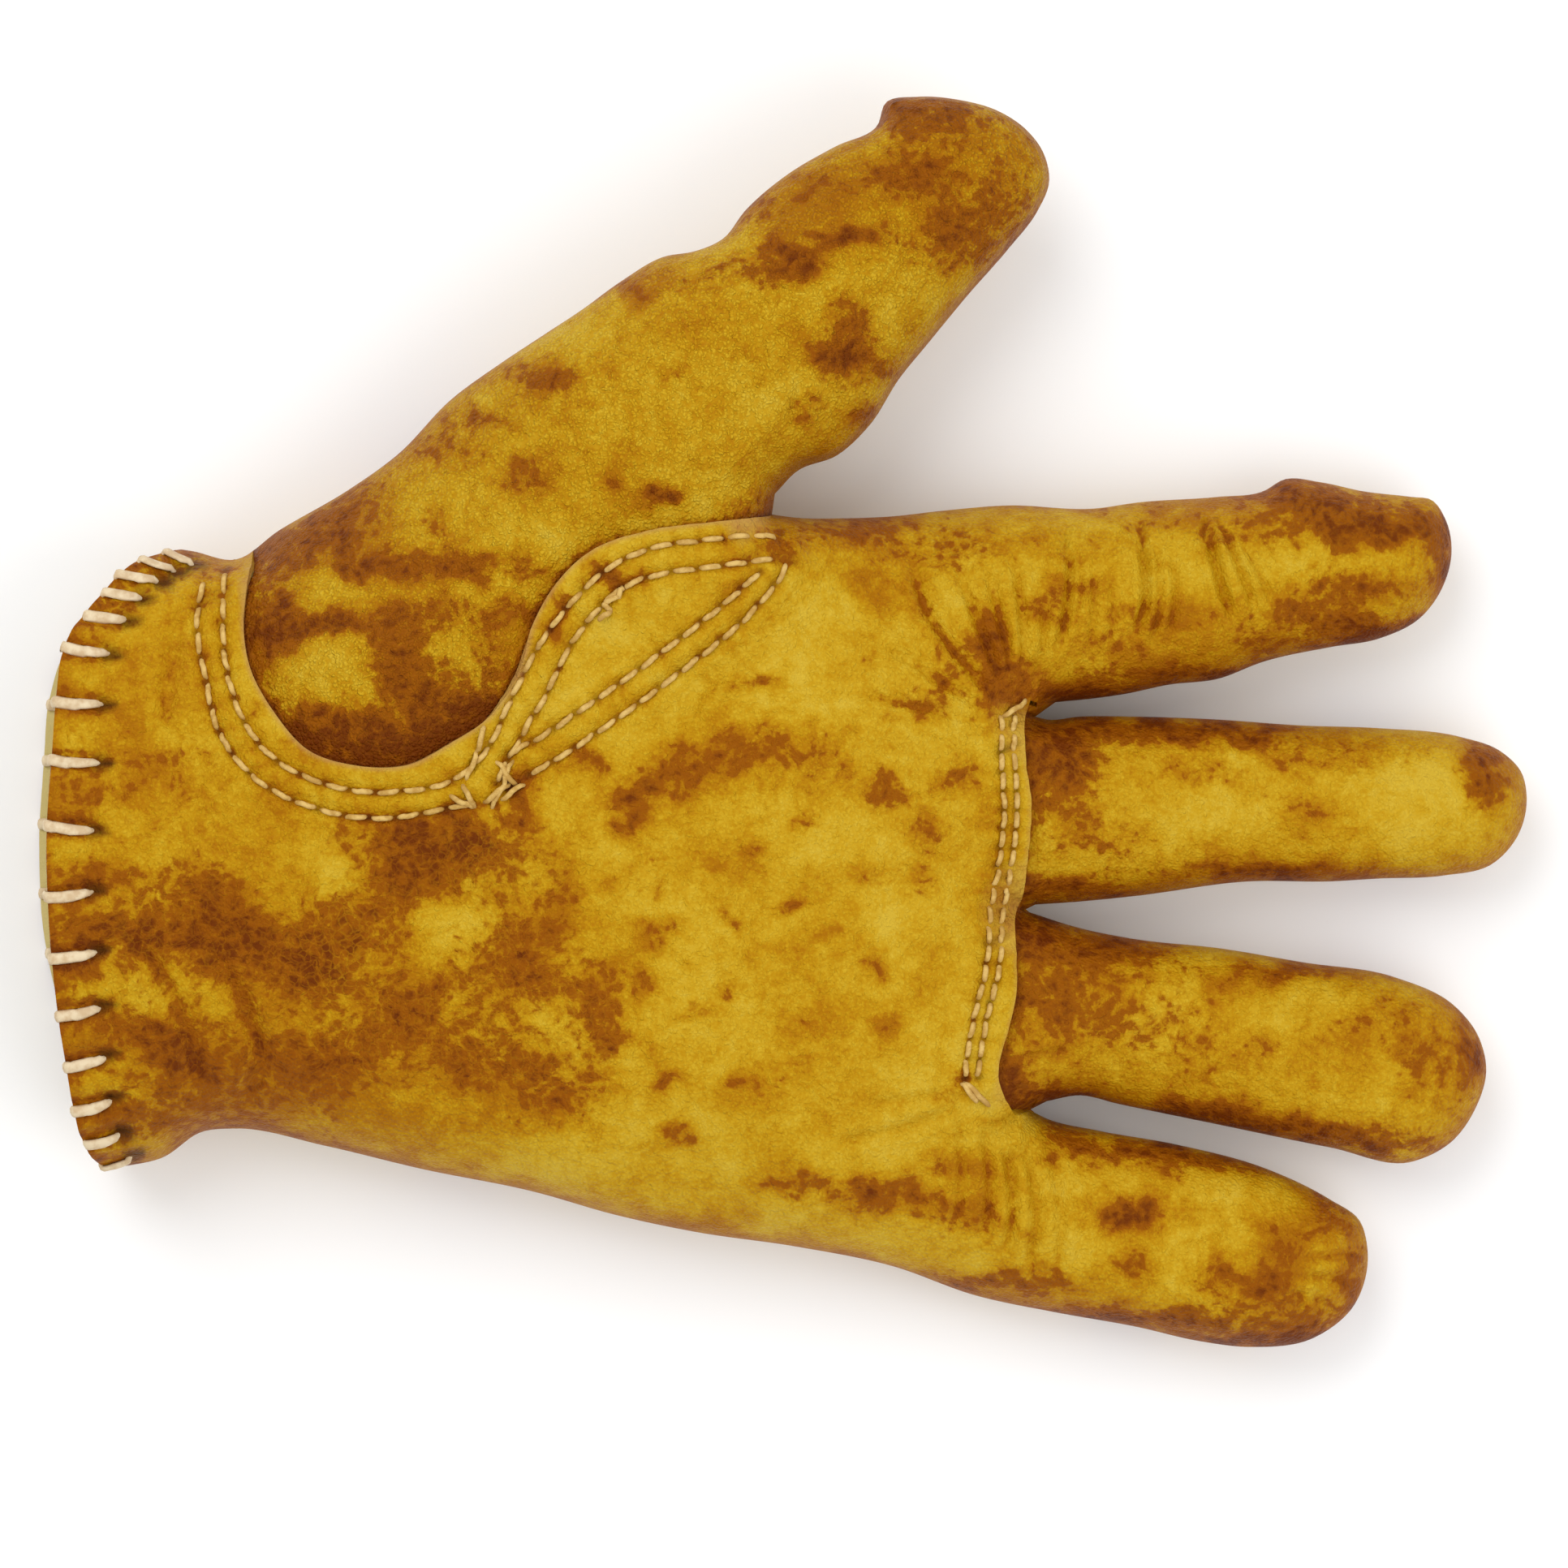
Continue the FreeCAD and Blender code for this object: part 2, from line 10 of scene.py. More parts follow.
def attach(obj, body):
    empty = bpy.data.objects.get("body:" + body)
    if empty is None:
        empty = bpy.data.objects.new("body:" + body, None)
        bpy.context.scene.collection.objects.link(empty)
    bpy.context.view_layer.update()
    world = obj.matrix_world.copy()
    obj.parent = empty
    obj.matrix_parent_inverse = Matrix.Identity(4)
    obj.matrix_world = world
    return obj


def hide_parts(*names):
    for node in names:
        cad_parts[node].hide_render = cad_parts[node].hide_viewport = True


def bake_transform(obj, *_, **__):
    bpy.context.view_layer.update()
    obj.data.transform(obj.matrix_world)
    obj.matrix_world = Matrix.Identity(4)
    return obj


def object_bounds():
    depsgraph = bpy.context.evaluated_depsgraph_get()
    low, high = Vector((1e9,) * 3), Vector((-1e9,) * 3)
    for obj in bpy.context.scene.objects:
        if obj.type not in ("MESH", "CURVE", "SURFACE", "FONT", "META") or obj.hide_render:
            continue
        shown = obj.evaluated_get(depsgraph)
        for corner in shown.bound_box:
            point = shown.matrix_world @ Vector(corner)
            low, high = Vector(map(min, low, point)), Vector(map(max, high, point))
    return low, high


# The looks of a left-hand leather work glove that lies on its back as if a hand filled it.
# Lengths in this script are the glove's own millimetres: X runs from the hem to the fingertips,
# Y towards the thumb and Z up from the floor. MM turns them into the frame's metres.

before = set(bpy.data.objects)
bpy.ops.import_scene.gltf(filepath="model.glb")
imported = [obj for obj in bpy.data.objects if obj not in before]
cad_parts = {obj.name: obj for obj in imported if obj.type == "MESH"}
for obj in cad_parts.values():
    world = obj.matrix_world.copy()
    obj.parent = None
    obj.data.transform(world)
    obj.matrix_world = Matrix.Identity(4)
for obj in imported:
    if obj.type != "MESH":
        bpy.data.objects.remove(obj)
frame_low, frame_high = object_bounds()
GLOVE_LENGTH = 257.0
MM = (frame_high.x - frame_low.x) / GLOVE_LENGTH
chance = np.random.default_rng(11)

# The camera looks straight down. Places on the glove are given where they look to be at the
# view's own level, and settle() moves them to the height that the leather has there.
VIEW_WIDTH = 270.5
VIEW_CENTRE = (0.07, -10.15)
VIEW_LEVEL = 15.0
EYE_HEIGHT = 1200.0

# ---- The outline, seen from the palm. Each run is smooth, and the runs meet at the crotches. ----

OPEN_END = -156.0               # the outline runs on past the hem, and the hem cuts it
LOWER_EDGE = (
    (OPEN_END, -79.5), (-140, -78.5), (-125, -77.5), (-114, -76), (-107, -74.5), (-100, -70),
    (-94.5, -69.5), (-79, -72.5), (-62.5, -76.5), (-43, -80.5), (-29, -84.5), (-15, -87.5),
    (2, -90), (19, -93.5), (33, -98.5))
LITTLE_EDGE = (
    (47, -101.5), (61, -104), (72, -106.5), (80.5, -107.5), (91.5, -106), (98.5, -100.5),
    (101, -91), (99.5, -85.5), (94.5, -82), (83, -76.5), (68, -72.5), (54, -70), (45.5, -68),
    (42.5, -66.5))
RING_EDGE = (
    (45.5, -65), (51, -64), (58, -65.5), (75, -69), (94.5, -73), (108.5, -75.5), (115.5, -72),
    (119.5, -66.5), (121.5, -59.5), (120, -53.5), (116, -48.5), (105.5, -43.5), (90, -41),
    (75, -38.5), (61, -37), (51, -35), (41.5, -32))
MIDDLE_EDGE = (
    (43.5, -31), (51, -30.5), (61, -29.5), (80.5, -27), (94.5, -27), (103, -26.5), (114, -26),
    (122.5, -24), (127, -19), (128.5, -13), (127.5, -8), (124, -4.5), (117, -2), (103, -0.5),
    (89, 0), (75, 1), (61, 1.5), (51, 1.5), (45.5, 1), (43.5, 1.5))
INDEX_EDGE = (
    (47, 4), (52.5, 4.5), (59.5, 5.5), (66.5, 7), (75, 8), (83, 11), (94.5, 13.5), (103, 15),
    (110, 18.5), (114, 24), (115.5, 30), (114.5, 35.5), (112, 39), (108.5, 39.5), (100, 40.5),
    (93, 42), (86.5, 42.5), (83, 40.5), (75, 39.5), (61, 38.5), (54, 37.5), (38.5, 38),
    (27, 37), (19, 36), (10.5, 35.5), (2, 35.5), (-2, 36))
THUMB_EDGE = (
    (-1.5, 39.5), (2.5, 43.5), (9, 46), (14.5, 51), (20, 59.5), (24.5, 65), (31.5, 73.5),
    (38.5, 81.5), (43.5, 88), (45.5, 93), (44.5, 98), (41.5, 102), (37, 105), (30, 107),
    (23, 107.5), (17.5, 106.5), (16, 102.5), (9, 99), (0.5, 94), (-6.5, 88), (-10.5, 83),
    (-15, 81), (-20.5, 80), (-27.5, 76), (-34.5, 71), (-41.5, 66.5), (-48.5, 62), (-57, 56),
    (-66.5, 46.5), (-75, 40.5), (-87, 33.5), (-94.5, 28.5), (-102, 30), (-112, 31),
    (-125, 31.8), (-140, 32.5), (OPEN_END, 33))

HEM = (
    (-99, 32), (-103, 30.6), (-107, 29.7), (-110.9, 28.4), (-114.6, 25.8), (-118.4, 21.5),
    (-122, 17.2), (-124, 13), (-125.2, 5), (-126, -6), (-126.8, -17), (-126.7, -29),
    (-126, -40), (-124.9, -50), (-123.5, -59), (-122.2, -66.5), (-120.7, -71.8),
    (-118.4, -75.2), (-115.5, -77), (-112, -78.5))
THUMB_HOLE = (
    (-92, 33), (-91.5, 28.5), (-92.5, 23), (-93, 17.5), (-92, 10.5), (-87.5, 2), (-81.5, -4.5),
    (-73.5, -7), (-65, -7), (-57, -3), (-51, 1), (-45.5, 9), (-43, 17.5), (-38.5, 25),
    (-33, 30), (-23, 33.5), (-12, 35), (-2, 36), (1.5, 37.5))
FINGER_EDGE = (
    (44, 7), (41.5, 2.5), (41.5, -5), (42.5, -15), (42, -23), (41, -29), (39.5, -33),
    (40, -40.5), (40, -46), (38.5, -52.5), (37, -57), (36.5, -60), (37.5, -64), (41, -69))
THUMB_BACK = ((-98, 31), (-92, 26.5), (-75, 25), (-55, 26), (-35, 29), (-15, 33.5), (-1.5, 38.5))
SPLIT_LINES = (                 # between two fingers, from the crotch to past the tips
    ((43.5, 3), (60, 3.7), (90, 5.5), (140, 8)),
    ((40, -31.5), (51, -32.8), (75, -32.8), (140, -34)),
    ((40, -66), (52, -67), (75, -71.5), (100, -79), (140, -90)))

FINGERS = ("index", "middle", "ring", "little")
FINGER_START = 43.5             # the fingers' own leather pieces start here along X
FINGER_JOIN = {"index": 62.3, "middle": 66.0, "ring": 64.0, "little": 60.0}
THUMB_START = (-72.0, 1.3)
THUMB_AXIS = (0.7337, 0.6794)
THUMB_SIDE = (-THUMB_AXIS[1], THUMB_AXIS[0])
THUMB_JOIN = 101.0

# ---- Small helpers ----

CHUNK = 3000                    # how many points are measured at once, to save memory
FAR = 1e9


def smoothstep(low, high, value):
    """A smooth change from 0 at low to 1 at high."""
    share = np.clip((value - low) / (high - low), 0, 1)
    return share * share * (3 - 2 * share)


def bell(value, width):
    """1 at zero, falling away on both sides over the width."""
    return np.exp(-(value / width) ** 2)


def unit(rows):
    """The rows as vectors of length 1."""
    return rows / np.maximum(np.linalg.norm(rows, axis=1), 1e-12)[:, None]


def passed_length(line):
    """How far along a line each of its points is."""
    return np.concatenate(([0], np.cumsum(np.linalg.norm(np.diff(line, axis=0), axis=1))))


def smooth_line(points, step):
    """A smooth curve through the points, sampled every step."""
    points = np.array(points, float)
    reach = passed_length(points)
    slope = np.gradient(points, reach, axis=0)
    fine = np.linspace(0, reach[-1], max(int(reach[-1] / step), 2) * 4 + 1)
    left = np.clip(np.searchsorted(reach, fine, side="right") - 1, 0, len(reach) - 2)
    width = (reach[left + 1] - reach[left])[:, None]
    share = (fine - reach[left])[:, None] / width
    line = ((1 + 2 * share) * (1 - share) ** 2 * points[left]
            + share * (1 - share) ** 2 * width * slope[left]
            + share ** 2 * (3 - 2 * share) * points[left + 1]
            + share ** 2 * (share - 1) * width * slope[left + 1])
    return even_line(line, step)


def even_line(line, step):
    """The same line with evenly spaced points."""
    line = np.array(line, float)
    reach = passed_length(line)
    spots = np.linspace(0, reach[-1], max(int(round(reach[-1] / step)), 1) + 1)
    return np.column_stack([np.interp(spots, reach, line[:, axis]) for axis in range(2)])


def inside(points, loop):
    """Which points lie inside a closed loop."""
    x, y = points[:, 0], points[:, 1]
    within = np.zeros(len(points), bool)
    for (x0, y0), (x1, y1) in zip(loop, np.roll(loop, -1, axis=0)):
        if y0 == y1:
            continue
        crosses = (y0 > y) != (y1 > y)
        within ^= crosses & (x < x0 + (y - y0) * (x1 - x0) / (y1 - y0))
    return within


def beside(points, line, reach=12.0):
    """Each point's signed distance from a line and its place along it. Far points get reach."""
    gap = np.full(len(points), reach)
    along = np.zeros(len(points))
    near = np.flatnonzero(np.all((points > line.min(0) - reach) & (points < line.max(0) + reach),
                                 axis=1))
    heading = unit(np.gradient(line, axis=0))
    passed = passed_length(line)
    for part in np.array_split(near, max(len(near) // CHUNK, 1)):
        spots = points[part]
        squares = ((spots ** 2).sum(1)[:, None] + (line ** 2).sum(1)[None, :]
                   - 2 * spots @ line.T)
        nearest = squares.argmin(1)
        away = spots - line[nearest]
        ahead = (away * heading[nearest]).sum(1)
        aside = heading[nearest, 0] * away[:, 1] - heading[nearest, 1] * away[:, 0]
        far = np.hypot(np.where((nearest == 0) | (nearest == len(line) - 1), ahead, 0), aside)
        gap[part] = np.where(aside < 0, -far, far)
        along[part] = passed[nearest] + ahead
    return np.clip(gap, -reach, reach), along


def waves(points, length, seed, stretch=(1.0, 1.0), count=14):
    """Smooth random swell with a given wave length, from about -1 to 1."""
    dice = np.random.default_rng(seed)
    total = np.zeros(len(points))
    turns = dice.uniform(0, math.tau, count)
    phases = dice.uniform(0, math.tau, count)
    scales = dice.uniform(0.7, 1.4, count)
    for turn, phase, scale in zip(turns, phases, scales):
        way = points[:, 0] * math.cos(turn) / stretch[0] + points[:, 1] * math.sin(turn) / stretch[1]
        total += np.sin(way * math.tau / (length * scale) + phase)
    return total / math.sqrt(count * 2)


# ---- The glove's swelling: a soft height field that falls to nothing at the outline ----

EDGE_STEP = 1.0
runs = [smooth_line(LOWER_EDGE + LITTLE_EDGE, EDGE_STEP), smooth_line(RING_EDGE, EDGE_STEP),
        smooth_line(MIDDLE_EDGE, EDGE_STEP), smooth_line(INDEX_EDGE, EDGE_STEP),
        smooth_line(THUMB_EDGE, EDGE_STEP)]
outline = np.concatenate(runs)

CELL = 1.0
GRID_LOW = np.array((OPEN_END - 2, -114.0))
GRID_SIZE = (294, 230)
FADE = 0.06                     # how soon the swelling levels off, per millimetre
FULL = 418.0                    # the square of the height where the glove is widest
SWEEPS = 260
EASE = 1.9                      # how far each sweep steps past the mean of the neighbours
FIRST_GUESS = 60.0
NEAR_EDGE = 3.0                 # closer than this the grid is too coarse, so a ratio is used
SPREAD_STEPS = 9


def edge_distance(points):
    """Each point's distance from the outline, without the open end."""
    best = np.full(len(points), FAR)
    starts, ends = outline[:-1], outline[1:]
    middles = (starts + ends) / 2
    for part in np.array_split(np.arange(len(points)), max(len(points) // CHUNK, 1)):
        spots = points[part]
        squares = ((spots ** 2).sum(1)[:, None] + (middles ** 2).sum(1)[None, :]
                   - 2 * spots @ middles.T)
        nearest = squares.argmin(1)
        for shift in (-1, 0, 1):
            pick = np.clip(nearest + shift, 0, len(starts) - 1)
            side = ends[pick] - starts[pick]
            away = spots - starts[pick]
            share = np.clip((away * side).sum(1) / (side ** 2).sum(1), 0, 1)
            gap = np.linalg.norm(away - side * share[:, None], axis=1)
            best[part] = np.minimum(best[part], gap)
    return best


def solve_swelling():
    """The square of the half-thickness on a grid, and the same divided by the edge distance."""
    across = GRID_LOW[0] + CELL * np.arange(GRID_SIZE[0])
    up = GRID_LOW[1] + CELL * np.arange(GRID_SIZE[1])
    grid_x, grid_y = np.meshgrid(across, up, indexing="ij")
    spots = np.column_stack((grid_x.ravel(), grid_y.ravel()))
    within = inside(spots, outline).reshape(GRID_SIZE)
    pull = (FADE * CELL) ** 2
    square = np.where(within, FIRST_GUESS, 0.0)
    colours = (np.add.outer(np.arange(GRID_SIZE[0]), np.arange(GRID_SIZE[1])) % 2).astype(bool)
    masks = (within & colours, within & ~colours)
    for _ in range(SWEEPS):
        for mask in masks:
            around = np.zeros(GRID_SIZE)
            around[1:] += square[:-1]
            around[:-1] += square[1:]
            around[:, 1:] += square[:, :-1]
            around[:, :-1] += square[:, 1:]
            wanted = (around + pull * FULL) / (4 + pull)
            square[mask] += EASE * (wanted[mask] - square[mask])
        square[:4] = square[4]
    gap = np.zeros(GRID_SIZE)
    gap[within] = edge_distance(spots[within.ravel()])
    known = within & (gap > NEAR_EDGE)
    ratio = np.where(known, square / np.maximum(gap, 0.1), 0.0)
    for _ in range(SPREAD_STEPS):
        total, count = np.zeros(GRID_SIZE), np.zeros(GRID_SIZE)
        for step_x in (-1, 0, 1):
            for step_y in (-1, 0, 1):
                total += np.roll(ratio * known, (step_x, step_y), (0, 1))
                count += np.roll(known, (step_x, step_y), (0, 1))
        fresh = ~known & (count > 0)
        ratio[fresh] = total[fresh] / count[fresh]
        known |= fresh
    return square, ratio


def cubic_weights(share):
    """What each of four neighbours counts in a smooth reading between the middle two."""
    return ((-share + 2 * share ** 2 - share ** 3) / 2, (2 - 5 * share ** 2 + 3 * share ** 3) / 2,
            (share + 4 * share ** 2 - 3 * share ** 3) / 2, (share ** 3 - share ** 2) / 2)


def read_grid(grid, points):
    """A smooth reading of a grid at any points."""
    place = (points - GRID_LOW) / CELL
    corner = np.floor(place).astype(int)
    corner = np.clip(corner, 1, np.array(GRID_SIZE) - 3)
    share = place - corner
    across, up = cubic_weights(share[:, 0]), cubic_weights(share[:, 1])
    total = np.zeros(len(points))
    for i in range(4):
        for j in range(4):
            total += across[i] * up[j] * grid[corner[:, 0] + i - 1, corner[:, 1] + j - 1]
    return total


swelling, edge_ratio = solve_swelling()


def half_thickness(points, gap):
    """How far the surface is above or below the glove's middle level."""
    inner = smoothstep(NEAR_EDGE, NEAR_EDGE + 2, gap)
    square = (1 - inner) * gap * read_grid(edge_ratio, points) + inner * read_grid(swelling, points)
    return np.sqrt(np.maximum(square, 0))


def thumb_place(points):
    """Places along and across the thumb."""
    away = points - np.array(THUMB_START)
    return away @ np.array(THUMB_AXIS), away @ np.array(THUMB_SIDE)


THUMB_LIFT = 11.0
LEVEL_PLACES = (-130, -100, -60, 0, 45)
LEVELS = (20.0, 17.0, 15.5, 14.0, 12.3)


def middle_level(points):
    """The height of the side seam: it falls towards the fingertips and rises along the thumb."""
    along, across = thumb_place(points)
    lift = THUMB_LIFT * smoothstep(15, 90, along) * smoothstep(-45, -20, across)
    return np.interp(points[:, 0], LEVEL_PLACES, LEVELS) + lift


def settle(points):
    """Moves places from where they look to be to where they are on the leather."""
    points = np.array(points, float)
    gap = edge_distance(points) * inside(points, outline)
    height = middle_level(points) + half_thickness(points, gap)
    scale = (EYE_HEIGHT - height) / (EYE_HEIGHT - VIEW_LEVEL)
    return VIEW_CENTRE + (points - VIEW_CENTRE) * scale[:, None]


# ---- Seams, as lines on the palm ----

LINE_STEP = 0.5
ROW_INNER = (
    (-96, 26.5), (-96.5, 20.5), (-96, 10.5), (-93, 1), (-88, -5.5), (-80.5, -9.5),
    (-71.5, -11.5), (-62.5, -11), (-58, -10), (-52, -5.5), (-47.5, 3), (-42.5, 13),
    (-37, 20.5), (-30, 27), (-22.5, 30.5), (-14.5, 31.7), (-4, 32.5), (1, 32))
ROW_OUTER = (
    (-100, 25), (-101, 16), (-99.5, 8), (-97, -1.5), (-90.5, -9.5), (-81.5, -14),
    (-71.5, -16), (-61, -15), (-56.5, -14), (-50.5, -13.5))
ROW_CURVE = (
    (-49.5, -10), (-45.5, -2.5), (-41, 5), (-36.5, 14), (-34, 17.5), (-27, 24), (-21, 26),
    (-14, 27), (-6.5, 28), (0.5, 29))
ROW_UPPER = ((-4, 26.5), (-9.5, 21.5), (-21, 12.5), (-33.5, 3.5), (-41, -1.5), (-49, -6))
ROW_LOWER = ((0.8, 28), (-2, 23.5), (-7, 18), (-18, 9), (-31, -0.5), (-38.5, -5.5), (-47.5, -10.5))
ROW_FINGERS = (
    (37.5, 2), (37.5, -4), (38, -15.5), (37, -24.5), (35.5, -32.5), (35, -41.5), (33, -49.5),
    (31.5, -57.5), (31, -62))
FINGER_ROW_GAP = 2.2


def shifted_line(line, aside):
    """The line moved to its left."""
    heading = unit(np.gradient(line, axis=0))
    return line + np.column_stack((-heading[:, 1], heading[:, 0])) * aside


lines = {name: smooth_line(settle(points), LINE_STEP) for name, points in (
    ("hem", HEM), ("hole", THUMB_HOLE), ("fingers", FINGER_EDGE), ("thumb_back", THUMB_BACK),
    ("row_inner", ROW_INNER), ("row_outer", ROW_OUTER), ("row_curve", ROW_CURVE),
    ("row_upper", ROW_UPPER), ("row_lower", ROW_LOWER), ("row_fingers", ROW_FINGERS))}
lines["row_fingers_2"] = shifted_line(lines["row_fingers"], FINGER_ROW_GAP)
HEM_SHOWS = 5.5                 # how much longer the back is than the palm at the hem's middle
hem_middle = smoothstep(-80, -30, lines["hem"][:, 1]) * smoothstep(32, 0, lines["hem"][:, 1])
lines["hem_back"] = lines["hem"] - np.column_stack((HEM_SHOWS * hem_middle, 0 * hem_middle))
STITCH_ROWS = ("row_inner", "row_outer", "row_curve", "row_upper", "row_lower", "row_fingers",
               "row_fingers_2")
LONG_PITCH = 4.4
SHORT_PITCH = 3.3
STITCH_PITCH = {name: SHORT_PITCH if "fingers" in name else LONG_PITCH for name in STITCH_ROWS}


def stitch_places(points, reach):
    """For each row: the points' distances from it, and 1 at its holes to -1 at mid-stitch."""
    for name in STITCH_ROWS:
        gap, along = beside(points, lines[name], reach)
        yield gap, np.cos(along / STITCH_PITCH[name] * math.tau)


# ---- Creases: (points, width, depth) ----

CREASES = (
    (((47, 12), (49, 20), (49.5, 28), (48, 36)), 0.8, 1.12),
    (((50, 16), (51.2, 22), (51.2, 30), (50.5, 35.5)), 0.6, 0.68),
    (((52.5, 12), (53.6, 19), (53.4, 27)), 0.6, 0.52),
    (((60, 14), (62.5, 22), (62, 30), (61, 37)), 0.8, 1.12),
    (((63, 12), (64.6, 20), (64.5, 28), (63.6, 34)), 0.6, 0.6),
    (((66, 14), (67.5, 22), (67, 30)), 0.6, 0.52),
    (((70, 37), (73.5, 31), (75.5, 24), (78, 17)), 0.8, 1.2),
    (((74, 36), (77.5, 30), (80, 24), (82, 18)), 0.7, 0.75),
    (((78, 33), (81.5, 27), (84.5, 21)), 0.6, 0.52),
    (((56, 12.5), (57, 20), (56.5, 27)), 0.6, 0.38),
    (((37.5, 4), (33, 9), (28, 15), (24, 22), (22, 30)), 0.9, 0.83),
    (((38.5, 5.5), (36, 12), (33, 19), (30, 27)), 0.8, 0.83),
    (((39.5, 6), (38.8, 13), (37, 20), (35, 28)), 0.8, 0.75),
    (((41, 6), (41.5, 13), (41, 21), (39.5, 30)), 0.8, 0.75),
    (((43.5, 7), (44.8, 14), (45, 22)), 0.7, 0.6),
    (((35.5, 2.5), (29, 6.5), (22, 11), (15, 15)), 0.9, 0.6),
    (((35, 0), (28, 2), (20, 4), (11, 6)), 0.9, 0.52),
    (((33.5, -66), (35, -73), (35.5, -81), (34, -90)), 0.8, 0.68),
    (((37, -68), (39, -76), (39.5, -84), (38, -92)), 0.8, 0.83),
    (((41, -69), (43, -77), (43.5, -86), (42, -95)), 0.8, 0.75),
    (((45, -69.5), (47.2, -77), (48, -86), (47, -96)), 0.8, 0.6),
    (((30, -65), (30.5, -72), (30.5, -80), (29, -88)), 0.8, 0.52),
    (((31, -65), (25, -68), (17, -70.5), (8, -72)), 1.0, 0.52),
    (((29, -63), (22, -64.5), (14, -65.5)), 0.9, 0.45),
    (((-94, -68), (-90, -58), (-93, -48), (-98, -40)), 1.6, 0.75),
    (((-100, -64), (-103, -52), (-108, -42), (-114, -36)), 1.6, 0.68),
    (((-101, 24), (-104, 16), (-106, 6), (-106, -4)), 1.4, 0.52),
    (((-5, 45), (0, 52), (3, 60)), 1.2, 0.45),
    (((44.5, -28), (48, -26), (54, -25)), 0.8, 0.52),
    (((40, -58), (44, -57), (50, -56)), 0.8, 0.52),
    (((96, -101), (92, -99), (87, -98)), 0.8, 0.6),
    (((99, -96), (94, -95.5), (89, -95)), 0.8, 0.52),
    (((99.5, -91), (95, -91.5), (90, -91.8)), 0.8, 0.45),
)
CREASE_REACH = 10.0
BANK_RISE = 0.45                # how high a crease's banks are, against its depth
BANK_PLACE = 2.0                # how far out banks are: a crease's in its widths, a seam's in mm
BANK_WIDTH = 1.1
crease_lines = [smooth_line(settle(spots), LINE_STEP) for spots, _, _ in CREASES]


def crease_places(points):
    """For each crease: the points' distances from it, and its width, depth and fading ends."""
    for line, (_, width, depth) in zip(crease_lines, CREASES):
        gap, along = beside(points, line, CREASE_REACH)
        length = len(line) * LINE_STEP
        ends = (smoothstep(-LINE_STEP, 0.25 * length, along)
                * smoothstep(length + LINE_STEP, 0.75 * length, along))
        yield gap, width, depth, ends


def crease_field(points):
    """A valley along each crease, with a low bank on both sides."""
    total = np.zeros(len(points))
    for gap, width, depth, ends in crease_places(points):
        banks = BANK_RISE * bell(np.abs(gap) - BANK_PLACE * width, BANK_WIDTH * width)
        total += depth * ends * (-bell(gap, width) + banks)
    return total


SEAM_FIELD_REACH = 8.0
SEAM_GROOVE = (0.42, 0.26)      # a seam's depth, and how much deeper it is at the holes
SEAM_BANK = (0.26, 0.12)        # its banks' height, and how much lower they are at the holes
SEAM_WIDTH = 0.85


def seam_field(points):
    """Grooves where the stitches pull, with a dimple at each hole."""
    total = np.zeros(len(points))
    for gap, beat in stitch_places(points, SEAM_FIELD_REACH):
        inner = smoothstep(SEAM_FIELD_REACH, SEAM_FIELD_REACH - 2, np.abs(gap))
        groove = -(SEAM_GROOVE[0] + SEAM_GROOVE[1] * beat) * bell(gap, SEAM_WIDTH)
        bank = (SEAM_BANK[0] - SEAM_BANK[1] * beat) * bell(np.abs(gap) - BANK_PLACE, BANK_WIDTH)
        total += inner * (groove + bank)
    return total


PUCKER_DEPTH = 0.16
PUCKER_PITCH = 3.1


def pucker_field(points):
    """Fine gathers that run out from the finger seam towards the palm."""
    gap, along = beside(points, lines["row_fingers"])
    fan = np.cos((along + 0.8 * waves(points, 18, 5)) / PUCKER_PITCH * math.tau)
    side = smoothstep(2.0, -1.0, gap)
    return PUCKER_DEPTH * fan * side * bell(gap, 5.0)


HOLE_PULL = 0.9                 # how deep the lace's holes are drawn in
LACE_PULL = 0.8                 # how deep the lace sinks into the leather
LACE_PUFF = 0.3                 # how far the leather stands up between two loops
HOLE_TAIL = 0.35                # a short dent on the palm's side of each hole


def hem_field(points):
    """The hem dips where each lace loop pulls it."""
    pull = np.zeros(len(points))
    for edge, hole in lace_loops:
        ahead, aside = lace_place(points, edge, hole)
        pull -= HOLE_PULL * bell(np.hypot(ahead / 1.5, aside / 1.3), 1)
        pull -= LACE_PULL * under_lace(ahead) * bell(aside, 1.5)
        pull += LACE_PUFF * smoothstep(-1, -4, ahead) * bell(np.abs(aside) - 3.2, 1.4)
        pull -= HOLE_TAIL * smoothstep(6, 0, ahead) * smoothstep(-1, 0.5, ahead) * bell(aside, 1)
    return pull


def lace_place(points, edge, hole):
    """Places along a lace loop, with 0 at its hole, and to its side."""
    way = (hole - edge) / np.linalg.norm(hole - edge)
    away = points - hole
    return away @ way, away @ np.array((-way[1], way[0]))


def under_lace(ahead):
    """1 where the lace lies on the leather, from its hole to past the hem."""
    return smoothstep(1, -1, ahead) * smoothstep(-14, -12, ahead)


def swell_field(points):
    """Broad unevenness of stuffed leather."""
    return (0.55 * waves(points, 46, 1) + 0.3 * waves(points, 21, 2, (1.4, 1.0))
            + 0.13 * waves(points, 9, 3) + 0.05 * waves(points, 4.5, 4))


GATHER_X = -98.0                # where the wrist is narrowest
GATHER_REACH = 7
GATHER_PITCH = 6
GATHER_DEPTH = 0.4


def gather_field(points):
    """The elastic inside the wrist draws the back into folds that run along the glove."""
    near = bell(points[:, 0] - GATHER_X, GATHER_REACH)
    folds = np.cos((points[:, 1] + waves(points, 24, 6)) / GATHER_PITCH * math.tau)
    return -GATHER_DEPTH * near * (1 + folds)


